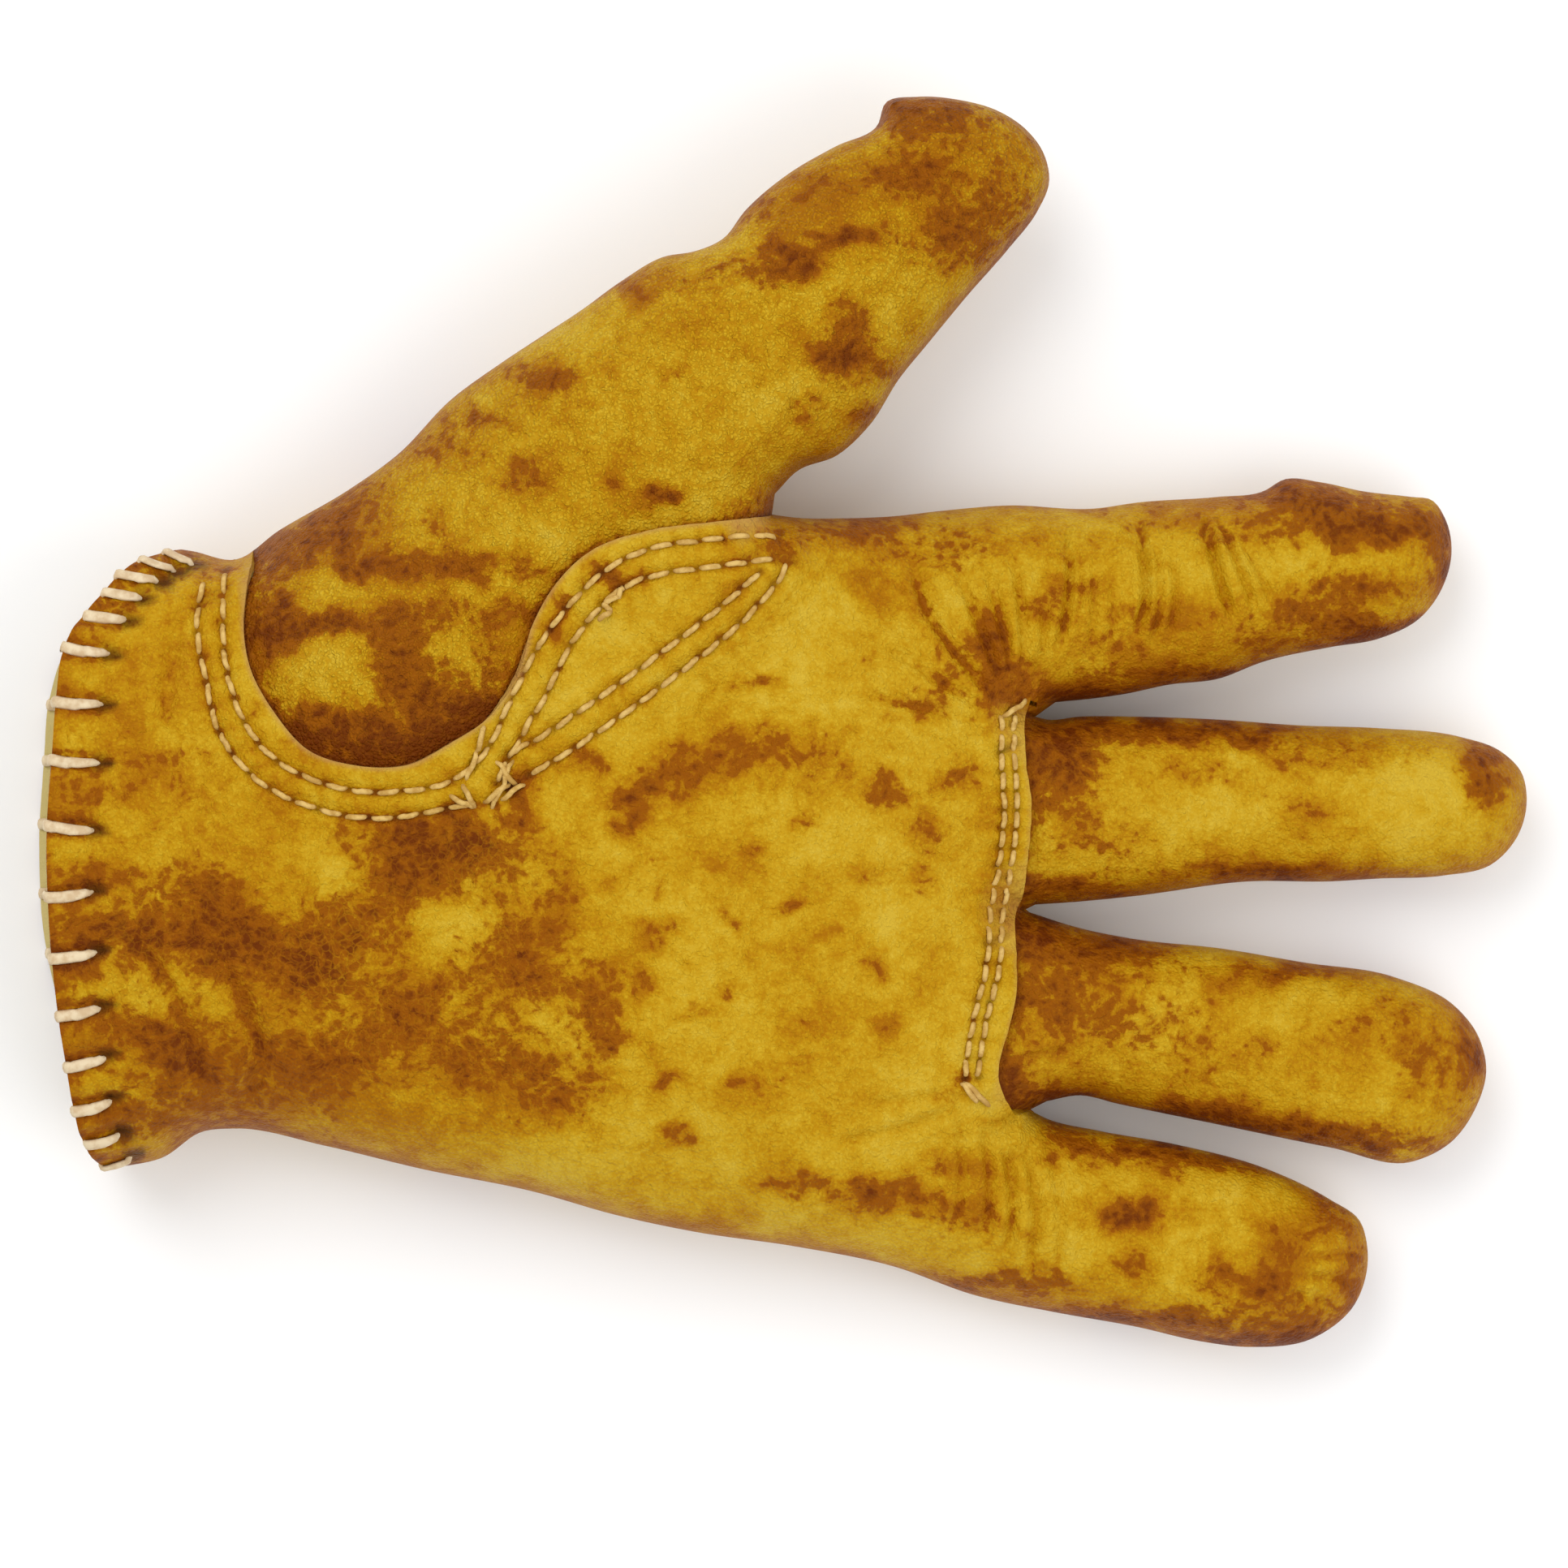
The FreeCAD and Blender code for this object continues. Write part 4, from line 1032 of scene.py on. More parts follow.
def leather_material():
    """Golden leather with brown dye and painted shade. Its readings are stored with the points of each
    piece.
    """
    make = Maker("yellow_leather")
    where = make.place()
    stain, edge, groove, raw, plain, crazed, coarse, pierced = map(make.reading, READINGS)
    soft = make.shake(where, 0.11 * PER_MM, 2.5 * MM)
    ragged = make.shake(make.shake(soft, 0.35 * PER_MM, 0.8 * MM), 1.6 * PER_MM, 0.14 * MM)
    cloud = make.noise(soft, 0.05 * PER_MM, 3, 0.55)
    mottle = make.noise(soft, 0.17 * PER_MM, 4, 0.55)
    speck = make.noise(ragged, 0.5 * PER_MM, 3, 0.55)
    fleck = make.noise(where, 1.5 * PER_MM, 2, 0.6)
    spots = make.cells(ragged, 0.5 * PER_MM)
    scale_tone, scale_edge = make.scales(ragged, 0.72 * PER_MM)
    crack = make.maths("MULTIPLY", make.span(scale_edge, 0.0, 0.14, 1.0, 0.0), crazed)
    _, fold_edge = make.scales(ragged, 0.42 * PER_MM)
    fold = make.span(fold_edge, 0.0, 0.16, 1.0, 0.0)
    pebble = make.cells(make.shake(where, 0.5 * PER_MM, 0.6 * MM), 1.7 * PER_MM)
    pit = make.maths("MULTIPLY", make.span(pebble, 0.2, 0.75), coarse)

    # Worn gold leather that wanders a little in tone, darker with the edge and groove readings, which
    # carry painted shade as well as browning and dirt.
    wear = make.total((cloud, 0.45), (mottle, 0.32), (speck, 0.20), (fleck, 0.18), (stain, 0.26),
                      (groove, 0.10), (edge, 0.14), (pit, 0.06), (plain, -0.03))
    gold = make.ramp(wear, (
        (0.48, colour(200, 166, 48)), (0.57, colour(193, 153, 28)), (0.65, colour(182, 135, 11)),
        (0.74, colour(166, 109, 3)), (0.86, colour(148, 85, 2))))

    # Brown dye with ragged edges, darker where it is thick. The edge and groove readings also push
    # painted shade into it at the rims, seams and creases.
    dye = make.total((stain, 0.80), (edge, 0.22), (groove, 0.42), (plain, -0.2), (mottle, 0.50),
                     (speck, 0.65), (fleck, 0.26), (spots, -0.38),
                     (make.maths("MULTIPLY", scale_tone, crazed), 0.2))
    haze = make.span(dye, 0.74, 0.98, 0.0, 0.5)
    thin = make.span(dye, 0.90, 1.02, 0.0, 0.85)
    thick = make.span(dye, 1.06, 1.38, 0.0, 0.9)
    tone = make.mix(haze, gold, colour(158, 98, 3))
    tone = make.mix(thin, tone, colour(136, 69, 2))
    tone = make.mix(thick, tone, colour(94, 33, 3))
    tone = make.mix(make.maths("MULTIPLY", make.maths("MULTIPLY", crack, thin), 0.6), tone, gold)
    tone = make.mix(make.maths("MULTIPLY", pit, 0.14), tone, colour(110, 60, 2))
    # Painted shadow in the stitch and lace holes.
    tone = make.mix(make.maths("MULTIPLY", pierced, 0.85), tone, colour(56, 30, 5))
    tone = make.mix(make.maths("MULTIPLY", raw, 0.6), tone, colour(172, 130, 84))
    make.link(tone, make.shader.inputs["Base Color"])

    grain = make.noise(where, 2.2 * PER_MM, 2, 0.5)
    make.link(make.span(grain, 0.3, 0.7, 0.46, 0.6), make.shader.inputs["Roughness"])
    make.shader.inputs["Specular IOR Level"].default_value = 0.2
    make.shader.inputs["Specular Tint"].default_value = colour(255, 214, 130)
    wrinkle = make.noise(ragged, 0.8 * PER_MM, 4, 0.6)
    normal = make.bump(pit, 0.7, -0.3 * MM)
    normal = make.bump(wrinkle, 0.45, 0.45 * MM, normal)
    normal = make.bump(crack, 0.25, -0.2 * MM, normal)
    normal = make.bump(fold, 0.3, -0.25 * MM, normal)
    make.link(normal, make.shader.inputs["Normal"])
    return make.material


def suede_material():
    """The leather's inside."""
    make = Maker("suede")
    where = make.place()
    cloud = make.noise(where, 0.12 * PER_MM, 4, 0.6)
    fuzz = make.noise(where, 3.5 * PER_MM, 3, 0.7)
    tone = make.mix(cloud, colour(196, 176, 110), colour(222, 204, 136))
    make.link(tone, make.shader.inputs["Base Color"])
    make.shader.inputs["Roughness"].default_value = 0.95
    make.shader.inputs["Sheen Weight"].default_value = 0.3
    make.link(make.bump(fuzz, 0.6, 0.2 * MM), make.shader.inputs["Normal"])
    return make.material


def cord_material(name, patch, fibre, dark, light, rough, rise):
    """Thread or lace: patches and fibres by how many there are in a millimetre."""
    make = Maker(name)
    where = make.place()
    wear = make.noise(where, patch * PER_MM, 3, 0.6)
    strand = make.noise(where, fibre * PER_MM, 2, 0.6)
    tone = make.mix(make.span(wear, 0.35, 0.65), colour(*dark), colour(*light))
    make.link(tone, make.shader.inputs["Base Color"])
    make.shader.inputs["Roughness"].default_value = rough
    make.link(make.bump(strand, rise, 0.1 * MM), make.shader.inputs["Normal"])
    return make.material


def floor_material():
    """Nearly white."""
    make = Maker("floor")
    where = make.place()
    cloud = make.noise(where, 3.0, 2, 0.5)
    tone = make.mix(cloud, colour(250, 250, 250), colour(254, 254, 254))
    make.link(tone, make.shader.inputs["Base Color"])
    make.shader.inputs["Roughness"].default_value = 0.9
    return make.material


leather = leather_material()
suede = suede_material()
thread = cord_material("cream_thread", 0.6, 5.0, (182, 140, 62), (212, 176, 100), 0.75, 0.5)
lace = cord_material("ivory_lace", 0.5, 4.0, (198, 170, 130), (220, 200, 164), 0.6, 0.3)

# ---- Leather pieces ----

LEATHER = 1.1                   # the leather's thickness
INSIDE_LOWEST = 0.02


def add_object(name, data):
    made = bpy.data.objects.new(name, data)
    bpy.context.scene.collection.objects.link(made)
    return made


def build_mesh(name, points, faces, materials, attributes=None, face_material=None, shading=None):
    """An object from points in millimetres, with optional readings, materials and normals."""
    mesh = bpy.data.meshes.new(name)
    mesh.from_pydata((points * MM).tolist(), [], faces if isinstance(faces, list) else faces.tolist())
    for material in materials:
        mesh.materials.append(material)
    if face_material is not None:
        mesh.polygons.foreach_set("material_index", face_material)
    mesh.polygons.foreach_set("use_smooth", [True] * len(mesh.polygons))
    for key, values in (attributes or {}).items():
        layer = mesh.attributes.new(key, "FLOAT", "POINT")
        layer.data.foreach_set("value", values.astype(np.float32))
    mesh.update()
    if shading is not None:
        mesh.normals_split_custom_set(shading.tolist())
    return add_object(name, mesh)


def border_edges(faces):
    """Edges that only one face has, in that face's direction."""
    edges = np.concatenate((faces[:, (0, 1)], faces[:, (1, 2)], faces[:, (2, 0)]))
    keys = np.sort(edges, axis=1)
    order = np.lexsort((keys[:, 1], keys[:, 0]))
    keys = keys[order]
    same = np.all(keys[1:] == keys[:-1], axis=1)
    single = np.ones(len(keys), bool)
    single[1:][same] = False
    single[:-1][same] = False
    return edges[order[single]]


def leather_piece(name, surface, keep_faces, offset=None, changed=None):
    """A piece of leather: the chosen part of a surface, with its thickness."""
    solid, faces, normals, fields = surface
    fields = {**fields, **(changed or {})}
    if offset is not None:
        solid = solid + normals * offset[:, None]
    whole_shading = vertex_normals(solid, faces)
    faces = faces[keep_faces]
    used, packed = np.unique(faces, return_inverse=True)
    faces = packed.reshape(faces.shape)
    outer = solid[used]
    count = len(outer)
    inner = outer - normals[used] * LEATHER
    inner[:, 2] = np.maximum(inner[:, 2], INSIDE_LOWEST)
    border = border_edges(faces)
    walls = np.concatenate((
        np.column_stack((border[:, 1], border[:, 0], border[:, 0] + count)),
        np.column_stack((border[:, 1], border[:, 0] + count, border[:, 1] + count))))
    every = np.concatenate((faces, faces[:, ::-1] + count, walls))
    which = np.repeat((0, 1, 0), (len(faces), len(faces), len(walls)))
    points = np.concatenate((outer, inner))
    shading = np.concatenate((whole_shading[used][faces].reshape(-1, 3),
                              -whole_shading[used][faces[:, ::-1]].reshape(-1, 3),
                              np.repeat(unit(face_normals(points, walls)), 3, axis=0)))
    readings = {key: np.concatenate((values[used], values[used])) for key, values in fields.items()}
    return build_mesh(name, points, every, (leather, suede), readings, which, shading)


FINE_GRAIN = 0.5                # the grain of the palm against the thumb's coarse grain


def fill_readings(flat, **known):
    """Every reading of the leather: the known ones, and zero for the others."""
    nothing = np.zeros(len(flat))
    known["crazed"] = crazed_field(flat)
    known["coarse"] = np.full(len(flat), FINE_GRAIN)
    return {name: known.get(name, nothing) for name in READINGS}


front = (front_solid, front_faces, front_normals,
         fill_readings(front_flat, stain=front_stain, edge=front_rim_dye_and_shade,
                       groove=groove_dirt_and_shade_field(front_flat), pierced=pierced_field(front_flat)))
back = (back_solid, back_faces, vertex_normals(back_solid, back_faces),
        fill_readings(back_flat, stain=back_stain, edge=back_rim_dye_and_shade))


def right_of(points, line):
    """True for points to the right of a line that runs downwards."""
    return np.interp(points[:, 1], line[::-1, 1], line[::-1, 0]) < points[:, 0]


def finger_of(points):
    """Which finger's stretch of the outline a point lies in, 0 for the index."""
    count = np.zeros(len(points), int)
    for line in SPLIT_LINES:
        spots = np.array(line, float)
        count += points[:, 1] < np.interp(points[:, 0], spots[:, 0], spots[:, 1])
    return count


ROUND_THUMB = ((30, 40), (60, 120), (-110, 120), (-110, 60))    # closes a loop round the thumb
ABOVE_FINGERS = 43


def regions(flat, faces, hem, thumb_line):
    """A region's name for each face."""
    centres = flat[faces].mean(1)
    along, _ = thumb_place(centres)
    names = np.full(len(faces), "hand", dtype="U16")
    finger = finger_of(centres)
    for number, stem in enumerate(FINGERS):
        mine = (finger == number) & (centres[:, 0] > FINGER_START) & (centres[:, 1] < ABOVE_FINGERS)
        names[mine] = stem + "_base"
        names[mine & (centres[:, 0] > FINGER_JOIN[stem])] = stem + "_tip"
    thumb = inside(centres, np.concatenate((thumb_line, ROUND_THUMB)))
    names[thumb] = "thumb_base"
    names[thumb & (along > THUMB_JOIN)] = "thumb_tip"
    order = np.argsort(hem[:, 1])
    hem_x = np.interp(centres[:, 1], hem[order, 1], hem[order, 0])
    names[centres[:, 0] < hem_x] = "off"
    return names, centres


front_names, front_centres = regions(front_flat, front_faces, lines["hem"], lines["hole"])
back_names, _ = regions(back_flat, back_faces, lines["hem_back"], lines["thumb_back"])

UNDERLAP = 5.0                  # how far the thumb and the fingers go on under the palm
BELOW = -1.25                   # how far they lie below the palm's surface there
THUMB_RISE = (1.6, 1.2)         # how far the thumb rises inside its hole, at the edge and beyond
FINGER_RISE = 1.35
PALM_RISE = (0.5, 0.25)         # how far the palm's edges stand out at the fingers and the hole
CLEAR_OF_RIM = 3.0
FACE_REACH = 10.0
POINT_REACH = 14.0
from_rim = smoothstep(0.0, CLEAR_OF_RIM, front_gap)
face_gap = front_gap[front_faces].mean(1)

hole_gap_faces, _ = beside(front_centres, lines["hole"], FACE_REACH)
hole_gap, _ = beside(front_flat, lines["hole"], POINT_REACH)
in_hole = inside(front_flat, np.concatenate((lines["hole"], ROUND_THUMB)))
hole_depth = np.where(in_hole, np.abs(hole_gap), -np.abs(hole_gap))
thumb_offset = from_rim * (BELOW + THUMB_RISE[0] * smoothstep(0.0, 5.0, hole_depth)
                           + THUMB_RISE[1] * smoothstep(3.0, 12.0, hole_depth))
under_hole = ((front_names == "hand") & (np.abs(hole_gap_faces) < UNDERLAP)
              & (face_gap > CLEAR_OF_RIM))

SEAM_TOP, SEAM_BOTTOM = 4, -66.5    # between these the palm ends at the finger seam
finger_gap_faces, _ = beside(front_centres, lines["fingers"], FACE_REACH)
right_faces = right_of(front_centres, lines["fingers"])
finger_span = (front_centres[:, 1] < SEAM_TOP) & (front_centres[:, 1] > SEAM_BOTTOM)
own_front = right_faces & finger_span & (front_names == "hand")
under_fingers = (~right_faces & finger_span & (np.abs(finger_gap_faces) < UNDERLAP)
                 & (face_gap > CLEAR_OF_RIM))
edge_gap, _ = beside(front_flat, lines["fingers"], POINT_REACH)
past_edge = np.where(right_of(front_flat, lines["fingers"]), np.abs(edge_gap), -np.abs(edge_gap))
finger_offset = from_rim * (BELOW + FINGER_RISE * smoothstep(-0.5, 5.0, past_edge))
finger_number = finger_of(front_centres)
near_seam = smoothstep(-70, -64, front_flat[:, 1]) * smoothstep(8, 2, front_flat[:, 1])
palm_offset = from_rim * (PALM_RISE[0] * smoothstep(-4.5, -1.0, past_edge) * near_seam
                          + PALM_RISE[1] * smoothstep(5.0, 1.5, np.abs(hole_gap)) * ~in_hole)

hole_ends = smoothstep(0, 4, front_gap)
finger_ends = smoothstep(-66, -63, front_flat[:, 1]) * smoothstep(4, 1, front_flat[:, 1])
palm_raw = np.maximum(hole_ends * bell(hole_gap, 0.5), 0.5 * finger_ends * bell(edge_gap, 0.4))
plain = finger_ends * smoothstep(-5.0, -3.5, past_edge)


def seam_shadow(depth, reach):
    """Dirt and shade against a lapped edge, by the distance from it."""
    depth = np.maximum(depth, 0)
    return 0.9 * np.exp(-depth / reach) + 0.4 * np.exp(-depth / 3)


clear = np.zeros(len(front_flat))
palm_fields = {"raw": palm_raw, "stain": front_stain * (1 - 0.6 * plain), "plain": 0.5 * plain}
# The thumb's and the sewn-on fingers' groove readings hold dirt and painted shade where they go under
# the palm's edge.
thumb_fields = {"coarse": clear + 1, "stain": thumb_stain, "raw": clear, "pierced": clear,
                "groove": seam_shadow(hole_depth, 0.9)}
finger_fields = {"stain": finger_stain, "raw": clear, "pierced": clear,
                 "groove": seam_shadow(past_edge, 0.8)}

pieces = {}


def add_piece(name, surface, keep_faces, offset=None, changed=None):
    pieces[name] = leather_piece(name, surface, keep_faces, offset, changed)


add_piece("palm_leather", front, (front_names == "hand") & ~own_front, palm_offset, palm_fields)
add_piece("back_leather", back, back_names == "hand")
add_piece("thumb_front", front, (front_names == "thumb_base") | under_hole, thumb_offset, thumb_fields)
add_piece("thumb_tip_front", front, front_names == "thumb_tip", thumb_offset, thumb_fields)
add_piece("thumb_back", back, back_names == "thumb_base")
add_piece("thumb_tip_back", back, back_names == "thumb_tip")
for number, stem in enumerate(FINGERS):
    base = front_names == stem + "_base"
    sewn_on = (None, None)
    if stem in ("middle", "ring"):
        base = base | ((own_front | under_fingers) & (finger_number == number))
        sewn_on = (finger_offset, finger_fields)
    add_piece(stem + "_front", front, base, *sewn_on)
    add_piece(stem + "_tip_front", front, front_names == stem + "_tip", *sewn_on)
    add_piece(stem + "_back", back, back_names == stem + "_base")
    add_piece(stem + "_tip_back", back, back_names == stem + "_tip")

# ---- Stitches and lace ----


def tree_of(name):
    """What rays are cast against, in millimetres."""
    mesh = pieces[name].data
    spots = np.zeros(len(mesh.vertices) * 3)
    mesh.vertices.foreach_get("co", spots)
    corners = np.zeros(len(mesh.loops), int)
    mesh.loops.foreach_get("vertex_index", corners)
    return BVHTree.FromPolygons((spots.reshape(-1, 3) / MM).tolist(), corners.reshape(-1, 3).tolist())


top_tree = tree_of("palm_leather")
bottom_tree = tree_of("back_leather")
RAY_START = 100.0
DOWN, UP = -1.0, 1.0


def drop(tree, x, y, way=DOWN):
    """Where a ray from above, or from below, meets the leather, and the normal there."""
    spot, normal, _, _ = tree.ray_cast(Vector((x, y, -way * RAY_START)), Vector((0, 0, way)))
    return spot, normal


TUBE_SIDES = 8


def tube(path, ups, widths, depths):
    """Rings of an oval section along a path, as points and faces."""
    path = np.array(path, float)
    heading = unit(np.gradient(path, axis=0))
    side = unit(np.cross(heading, np.array(ups, float)))
    ups = np.cross(side, heading)
    angles = np.arange(TUBE_SIDES) / TUBE_SIDES * math.tau
    aside = np.cos(angles)[None, :] * np.array(widths)[:, None] / 2
    above = np.sin(angles)[None, :] * np.array(depths)[:, None] / 2
    rings = path[:, None] + side[:, None] * aside[..., None] + ups[:, None] * above[..., None]
    points = rings.reshape(-1, 3)
    faces = []
    for ring in range(len(path) - 1):
        for corner in range(TUBE_SIDES):
            after = (corner + 1) % TUBE_SIDES
            low, high = ring * TUBE_SIDES, (ring + 1) * TUBE_SIDES
            faces.append((low + corner, low + after, high + after, high + corner))
    faces.append(tuple(range(TUBE_SIDES))[::-1])
    faces.append(tuple((len(path) - 1) * TUBE_SIDES + corner for corner in range(TUBE_SIDES)))
    return points, faces


def join_shapes(name, shapes, material):
    """One object from many stitches or loops."""
    points, faces = [], []
    count = 0
    for spots, corners in shapes:
        points.append(spots)
        faces += [tuple(corner + count for corner in face) for face in corners]
        count += len(spots)
    return build_mesh(name, np.concatenate(points), faces, (material,))


STITCH_WIDTH = 0.95
STITCH_SHARE = 0.84             # how much of each pitch the thread lies on top of the leather
STITCH_STEPS = np.linspace(-1, 1, 7)
STITCH_TILT = 0.25
STITCH_LIFT = 0.4               # how high the thread lies
STITCH_SINK = 0.35              # how deep its ends go
TACK_LIFT = 0.35                # how much higher the single stitches lie


def stitch(line, middle, pitch, tree, raised=0.0):
    """One stitch that dips into the leather at both ends."""
    reach = pitch * STITCH_SHARE / 2
    passed = passed_length(line)
    path, ups = [], []
    tilt = chance.uniform(-STITCH_TILT, STITCH_TILT)
    for share in STITCH_STEPS:
        at = middle + share * reach + np.array((0, -LINE_STEP, LINE_STEP))
        x, x_before, x_after = np.interp(at, passed, line[:, 0])
        y, y_before, y_after = np.interp(at, passed, line[:, 1])
        ahead_x, ahead_y = x_after - x_before, y_after - y_before
        length = math.hypot(ahead_x, ahead_y) or 1.0
        x += -ahead_y / length * tilt * share
        y += ahead_x / length * tilt * share
        spot, normal = drop(tree, x, y)
        if spot is None:
            return None
        lift = (STITCH_LIFT + raised) * (1 - share ** 4) - STITCH_SINK * share ** 4
        path.append(np.array(spot) + np.array(normal) * lift)
        ups.append(np.array(normal))
    widths = STITCH_WIDTH * (1 - 0.35 * STITCH_STEPS ** 4)
    return tube(path, ups, widths, widths * 0.85)


def stitch_row(name, tree):
    """All stitches of a row, without those that miss the leather."""
    line = lines[name]
    pitch = STITCH_PITCH[name]
    count = int(LINE_STEP * (len(line) - 1) / pitch)
    shapes = [stitch(line, (number + 0.5) * pitch, pitch, tree) for number in range(count)]
    return [shape for shape in shapes if shape]


TACKS = {                       # single stitches across the rows' ends, and a loose thread
    "thumb_seam_thread": (
        ((-51.4, 0), (-52.8, -4.8)), ((-52.6, -4.4), (-54.8, -9.5)), ((-57.4, -12.0), (-53.4, -14.3)),
        ((-55.4, -10.2), (-53.0, -14.2)), ((-32, 18.2), (-29.5, 19.4)), ((-29.7, 19.6), (-30.9, 21)),
        ((-30.8, 21.1), (-28.3, 21.9)), ((-28.4, 21.8), (-27.7, 23.8))),
    "patch_seam_thread": (
        ((-49.5, -6.2), (-45.8, -10.5)), ((-46.3, -6), (-50.4, -14.3)), ((-46.6, -9.6), (-51.8, -13.4)),
        ((-44.6, -10), (-48.6, -13.2))),
    "finger_seam_thread": (
        ((37.6, 1.6), (42.0, 4.3)), ((31.0, -61.4), (35.6, -65.8)), ((30.4, -61.8), (33.6, -64.9)))}

stitch_groups = {
    "thumb_seam_thread": ("row_inner", "row_outer", "row_curve"),
    "patch_seam_thread": ("row_upper", "row_lower"),
    "finger_seam_thread": ("row_fingers", "row_fingers_2")}
for group, rows in stitch_groups.items():
    shapes = []
    for row in rows:
        shapes += stitch_row(row, top_tree)
    for ends in TACKS[group]:
        line = settle(even_line(ends, LINE_STEP))
        length = np.linalg.norm(line[-1] - line[0])
        shapes.append(stitch(line, length / 2, length / STITCH_SHARE, top_tree, TACK_LIFT))
    pieces[group] = join_shapes(group, shapes, thread)

LACE_REACH = 8.4                # how far the back's holes are from its hem
LACE_WIDTH = 2.0
LACE_DEPTH = 0.9
LACE_BOW = 0.45                 # how far a loop bows sideways
LACE_LIFT = 0.5                 # how far the lace's middle is from the leather
LACE_SINK = 1.4                 # how much lower it starts, in its hole
STEP_LIMIT = 2.5                # a larger step down means that the ray missed the hem
TURN_ANGLES = (30, 75, 120, 165)    # the lace's way round the hem
TUCKED_IN = (1.5, 4.0)          # how far its end goes back inside
LACE_TAPER = ((0, 2, 5), (0.4, 0.75, 1.0))      # its width over its first points, as a share
BACK_LOOPS = (-70, 24)          # the stretch of the back's hem that has loops of its own


def lace_loop(tree, edge, hole, way):
    """One loop of lace: out of the hole, over the leather, round the hem and back inside."""
    edge, hole = np.array(edge, float), np.array(hole, float)
    heading = (edge - hole) / np.linalg.norm(edge - hole)
    aside = np.array((-heading[1], heading[0])) * chance.uniform(0.3, 1.0)
    length = np.linalg.norm(edge - hole)
    path, ups = [], []
    last = None
    for share in np.linspace(0.0, 1.0, 11):
        x, y = hole + heading * length * share + aside * LACE_BOW * math.sin(share * math.pi)
        spot, normal = drop(tree, x, y, way)
        if spot is None or (last is not None and abs(spot[2] - last[0][2]) > STEP_LIMIT):
            break
        lift = LACE_LIFT - LACE_SINK + LACE_SINK * min(share * 5, 1.0)
        path.append(np.array(spot) + np.array(normal) * lift)
        ups.append(np.array(normal))
        last = (np.array(spot), np.array(normal))
    if last is None or len(path) < 4:
        return None
    spot, normal = last
    out = np.array((*heading, 0.0))
    centre = spot - normal * LEATHER / 2
    radius = LEATHER / 2 + LACE_LIFT
    for angle in TURN_ANGLES:
        turn = math.radians(angle)
        path.append(centre + out * math.sin(turn) * radius * 0.4 + normal * math.cos(turn) * radius)
        ups.append(normal * math.cos(turn) + out * math.sin(turn))
    for inward in TUCKED_IN:
        path.append(spot - normal * (LEATHER + LACE_LIFT) - out * inward)
        ups.append(-normal)
    sizes = LACE_WIDTH * np.interp(np.arange(len(path)), *LACE_TAPER)
    return tube(path, ups, sizes, np.full(len(path), LACE_DEPTH))


def hem_x_at(y, line):
    """Where along X the hem is."""
    order = np.argsort(line[:, 1])
    return float(np.interp(y, line[order, 1], line[order, 0]))


loops = [lace_loop(top_tree, edge, hole, DOWN) for edge, hole in lace_loops]
for y in [edge[1] for edge, _ in lace_loops if BACK_LOOPS[0] < edge[1] < BACK_LOOPS[1]]:
    rim_x = hem_x_at(y, lines["hem_back"])
    loops.append(lace_loop(bottom_tree, (rim_x + 0.4, y), (rim_x + LACE_REACH, y), UP))
pieces["hem_lacing"] = join_shapes("hem_lacing", [loop for loop in loops if loop], lace)

# ---- Transforms baked into the pieces, two threads attached to the hand, and the model's own parts hidden ----


def point(x, y, z):
    """A place in the frame's metres."""
    return (x * MM, y * MM, z * MM)


for name in ("palm_leather", "back_leather", "hem_lacing", "thumb_seam_thread"):
    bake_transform(pieces[name])
for name in ("patch_seam_thread", "finger_seam_thread"):
    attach(pieces[name], "hand")
BASE_BEND = {"index": 62, "middle": 62, "ring": 62, "little": 60}
TIP_BEND = {"index": (62.5, 85.5), "middle": (70.5, 93.5), "ring": (66.5, 89.5), "little": (60, 80)}
for stem in FINGERS:
    for face in ("front", "back"):
        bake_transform(pieces[f"{stem}_{face}"], "hand", f"{stem}_base", point(FINGER_START, 0, 12),
                 point(BASE_BEND[stem], 0, 12))
        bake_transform(pieces[f"{stem}_tip_{face}"], f"{stem}_base", f"{stem}_tip",
                 point(TIP_BEND[stem][0], 0, 12), point(TIP_BEND[stem][1], 0, 12))
for face in ("front", "back"):
    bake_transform(pieces[f"thumb_{face}"])
    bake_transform(pieces[f"thumb_tip_{face}"])

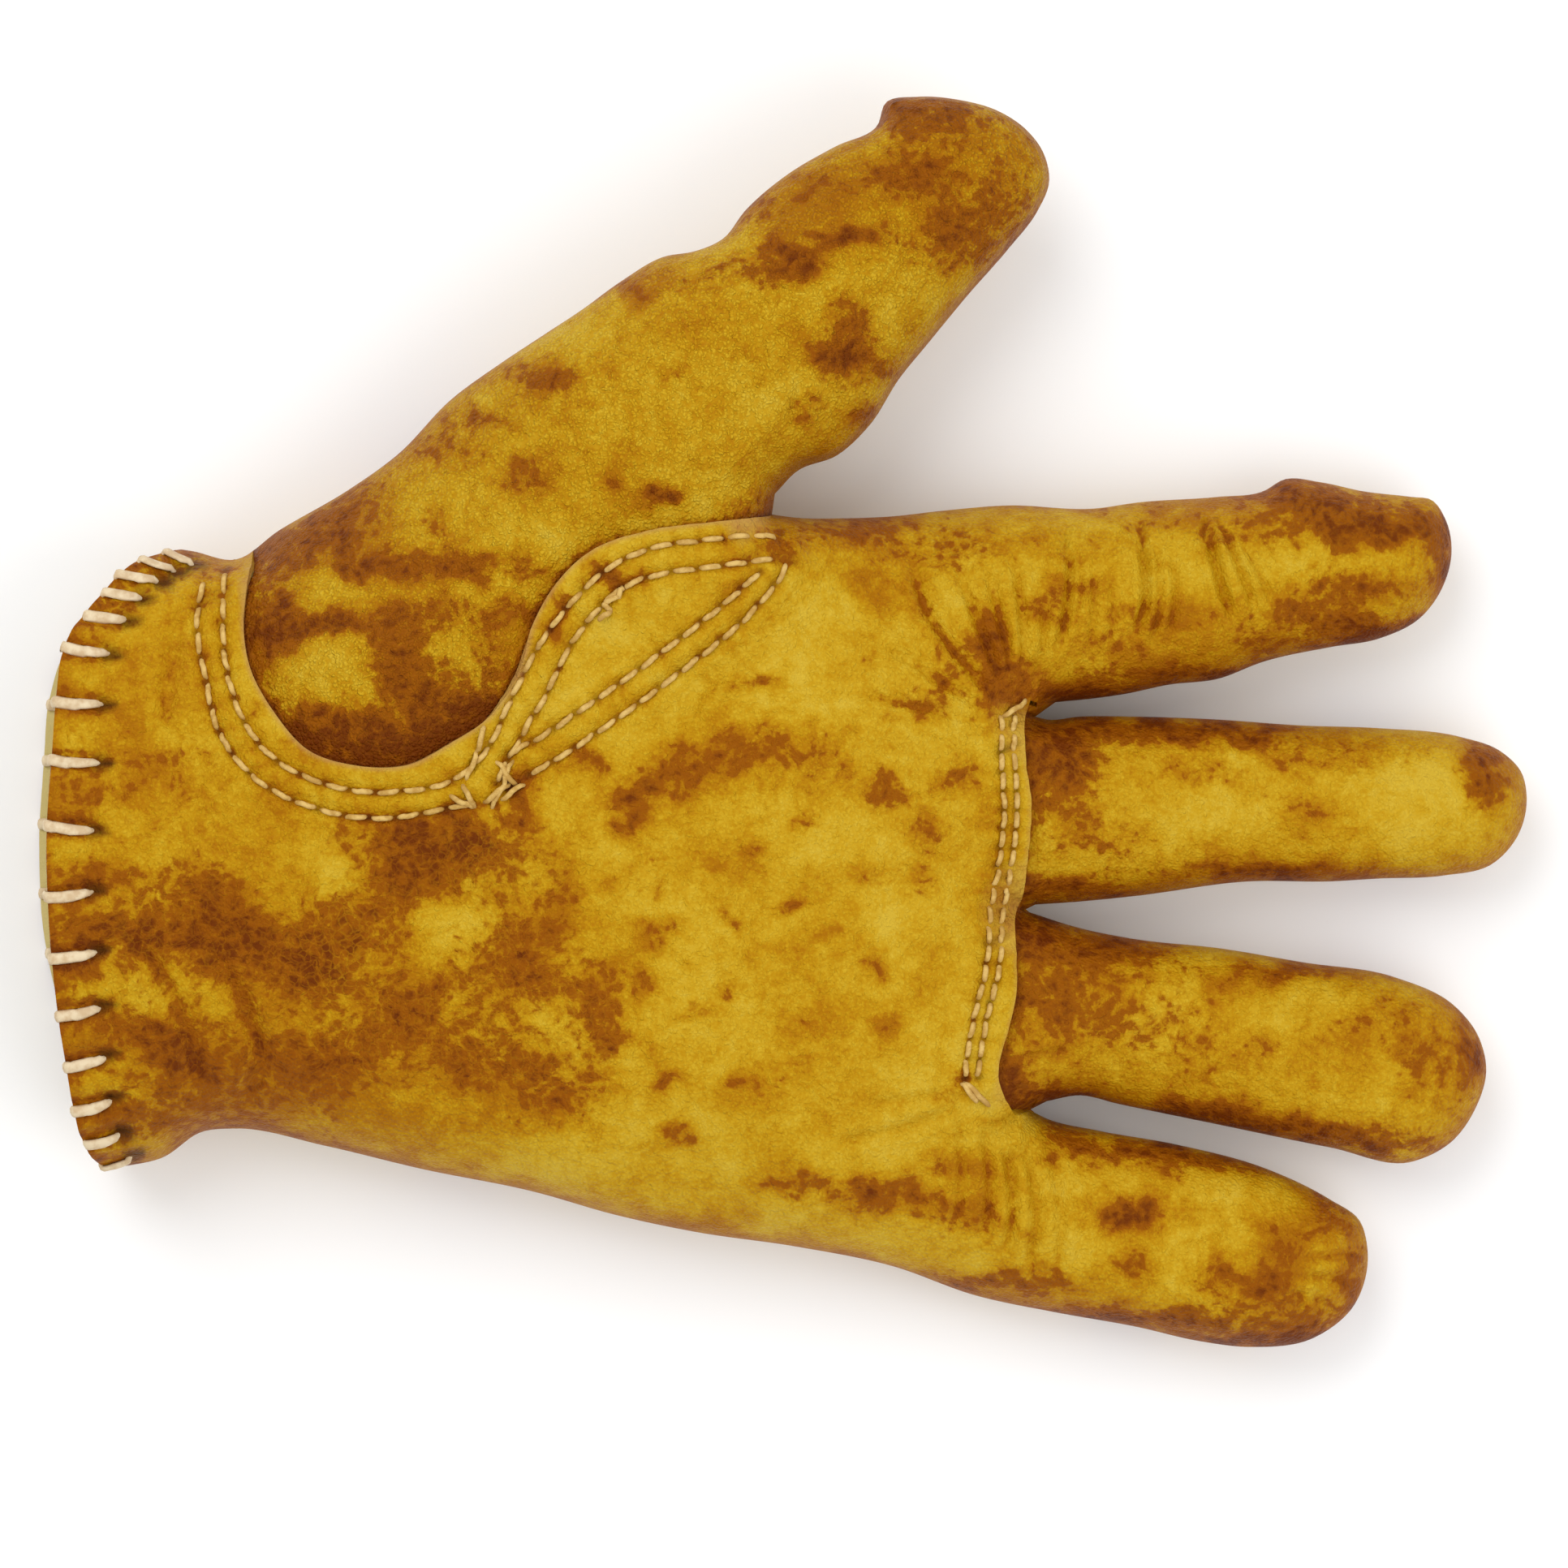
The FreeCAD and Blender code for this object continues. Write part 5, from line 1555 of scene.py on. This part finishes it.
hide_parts("palm_panel", "cuff_front", "wrist_fold", "palm_patch")
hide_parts("back_panel", "cuff_back", "wrist_elastic")
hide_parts("thumb_lobe", "thumb_base_front", "thumb_base_fold")
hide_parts("thumb_tip_front", "thumb_tip_fold")
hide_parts("thumb_base_back")
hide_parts("thumb_tip_back")
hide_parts("thumb_seam_stitches")
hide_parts("patch_seam_stitches")
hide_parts("finger_seam_stitches")
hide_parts("hem_lace")
SIDES = {"index": ("inner",), "middle": ("upper", "lower"), "ring": ("upper", "lower"),
         "little": ("inner",)}
for stem in FINGERS:
    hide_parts(f"{stem}_base_front", f"{stem}_base_fold",
                *[f"{stem}_base_fourchette_{side}" for side in SIDES[stem]])
    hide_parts(f"{stem}_tip_front", f"{stem}_bend_fold",
                *[f"{stem}_tip_fourchette_{side}" for side in SIDES[stem]])
    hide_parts(f"{stem}_base_back")
    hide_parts(f"{stem}_tip_back")
for name, made in pieces.items():
    if "thread" in name:
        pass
    elif "lac" in name:
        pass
    else:
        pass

# ---- Stage ----

SENSOR = 36.0
FLOOR_REACH = GLOVE_LENGTH * 12
FLOOR_GAP = 0.1
WORLD_STRENGTH = 0.76


def add_floor():
    """A wide pale floor just below the glove."""
    mesh = bpy.data.meshes.new("floor")
    half = FLOOR_REACH * MM
    mesh.from_pydata([(-half, -half, 0), (half, -half, 0), (half, half, 0), (-half, half, 0)], [],
                     [(0, 1, 2, 3)])
    mesh.materials.append(floor_material())
    made = add_object("floor", mesh)
    made.location.z = -FLOOR_GAP * MM


def add_light(name, place, size, power):
    """A round soft light that faces the glove."""
    data = bpy.data.lights.new(name, "AREA")
    data.shape = "DISK"
    data.size = size * MM
    data.energy = power
    made = add_object(name, data)
    made.location = point(*place)
    made.rotation_mode = "QUATERNION"
    made.rotation_quaternion = (-made.location).to_track_quat("-Z", "Y")


def add_camera():
    """The camera straight above the glove, at the photograph's viewing angle."""
    data = bpy.data.cameras.new("camera")
    data.sensor_width = SENSOR
    data.lens = SENSOR * (EYE_HEIGHT - VIEW_LEVEL) / VIEW_WIDTH
    made = add_object("camera", data)
    made.location = point(*VIEW_CENTRE, EYE_HEIGHT)
    bpy.context.scene.camera = made


def add_world():
    """Even white light from all round."""
    world = bpy.data.worlds.new("world")
    world.use_nodes = True
    background = world.node_tree.nodes["Background"]
    background.inputs["Color"].default_value = (1, 1, 1, 1)
    background.inputs["Strength"].default_value = WORLD_STRENGTH
    bpy.context.scene.world = world


add_floor()
add_light("key", (-260, 380, 620), 620, 2.45)
add_light("fill", (380, -240, 560), 640, 1.5)
add_camera()
add_world()
bpy.context.scene.view_settings.view_transform = "Standard"
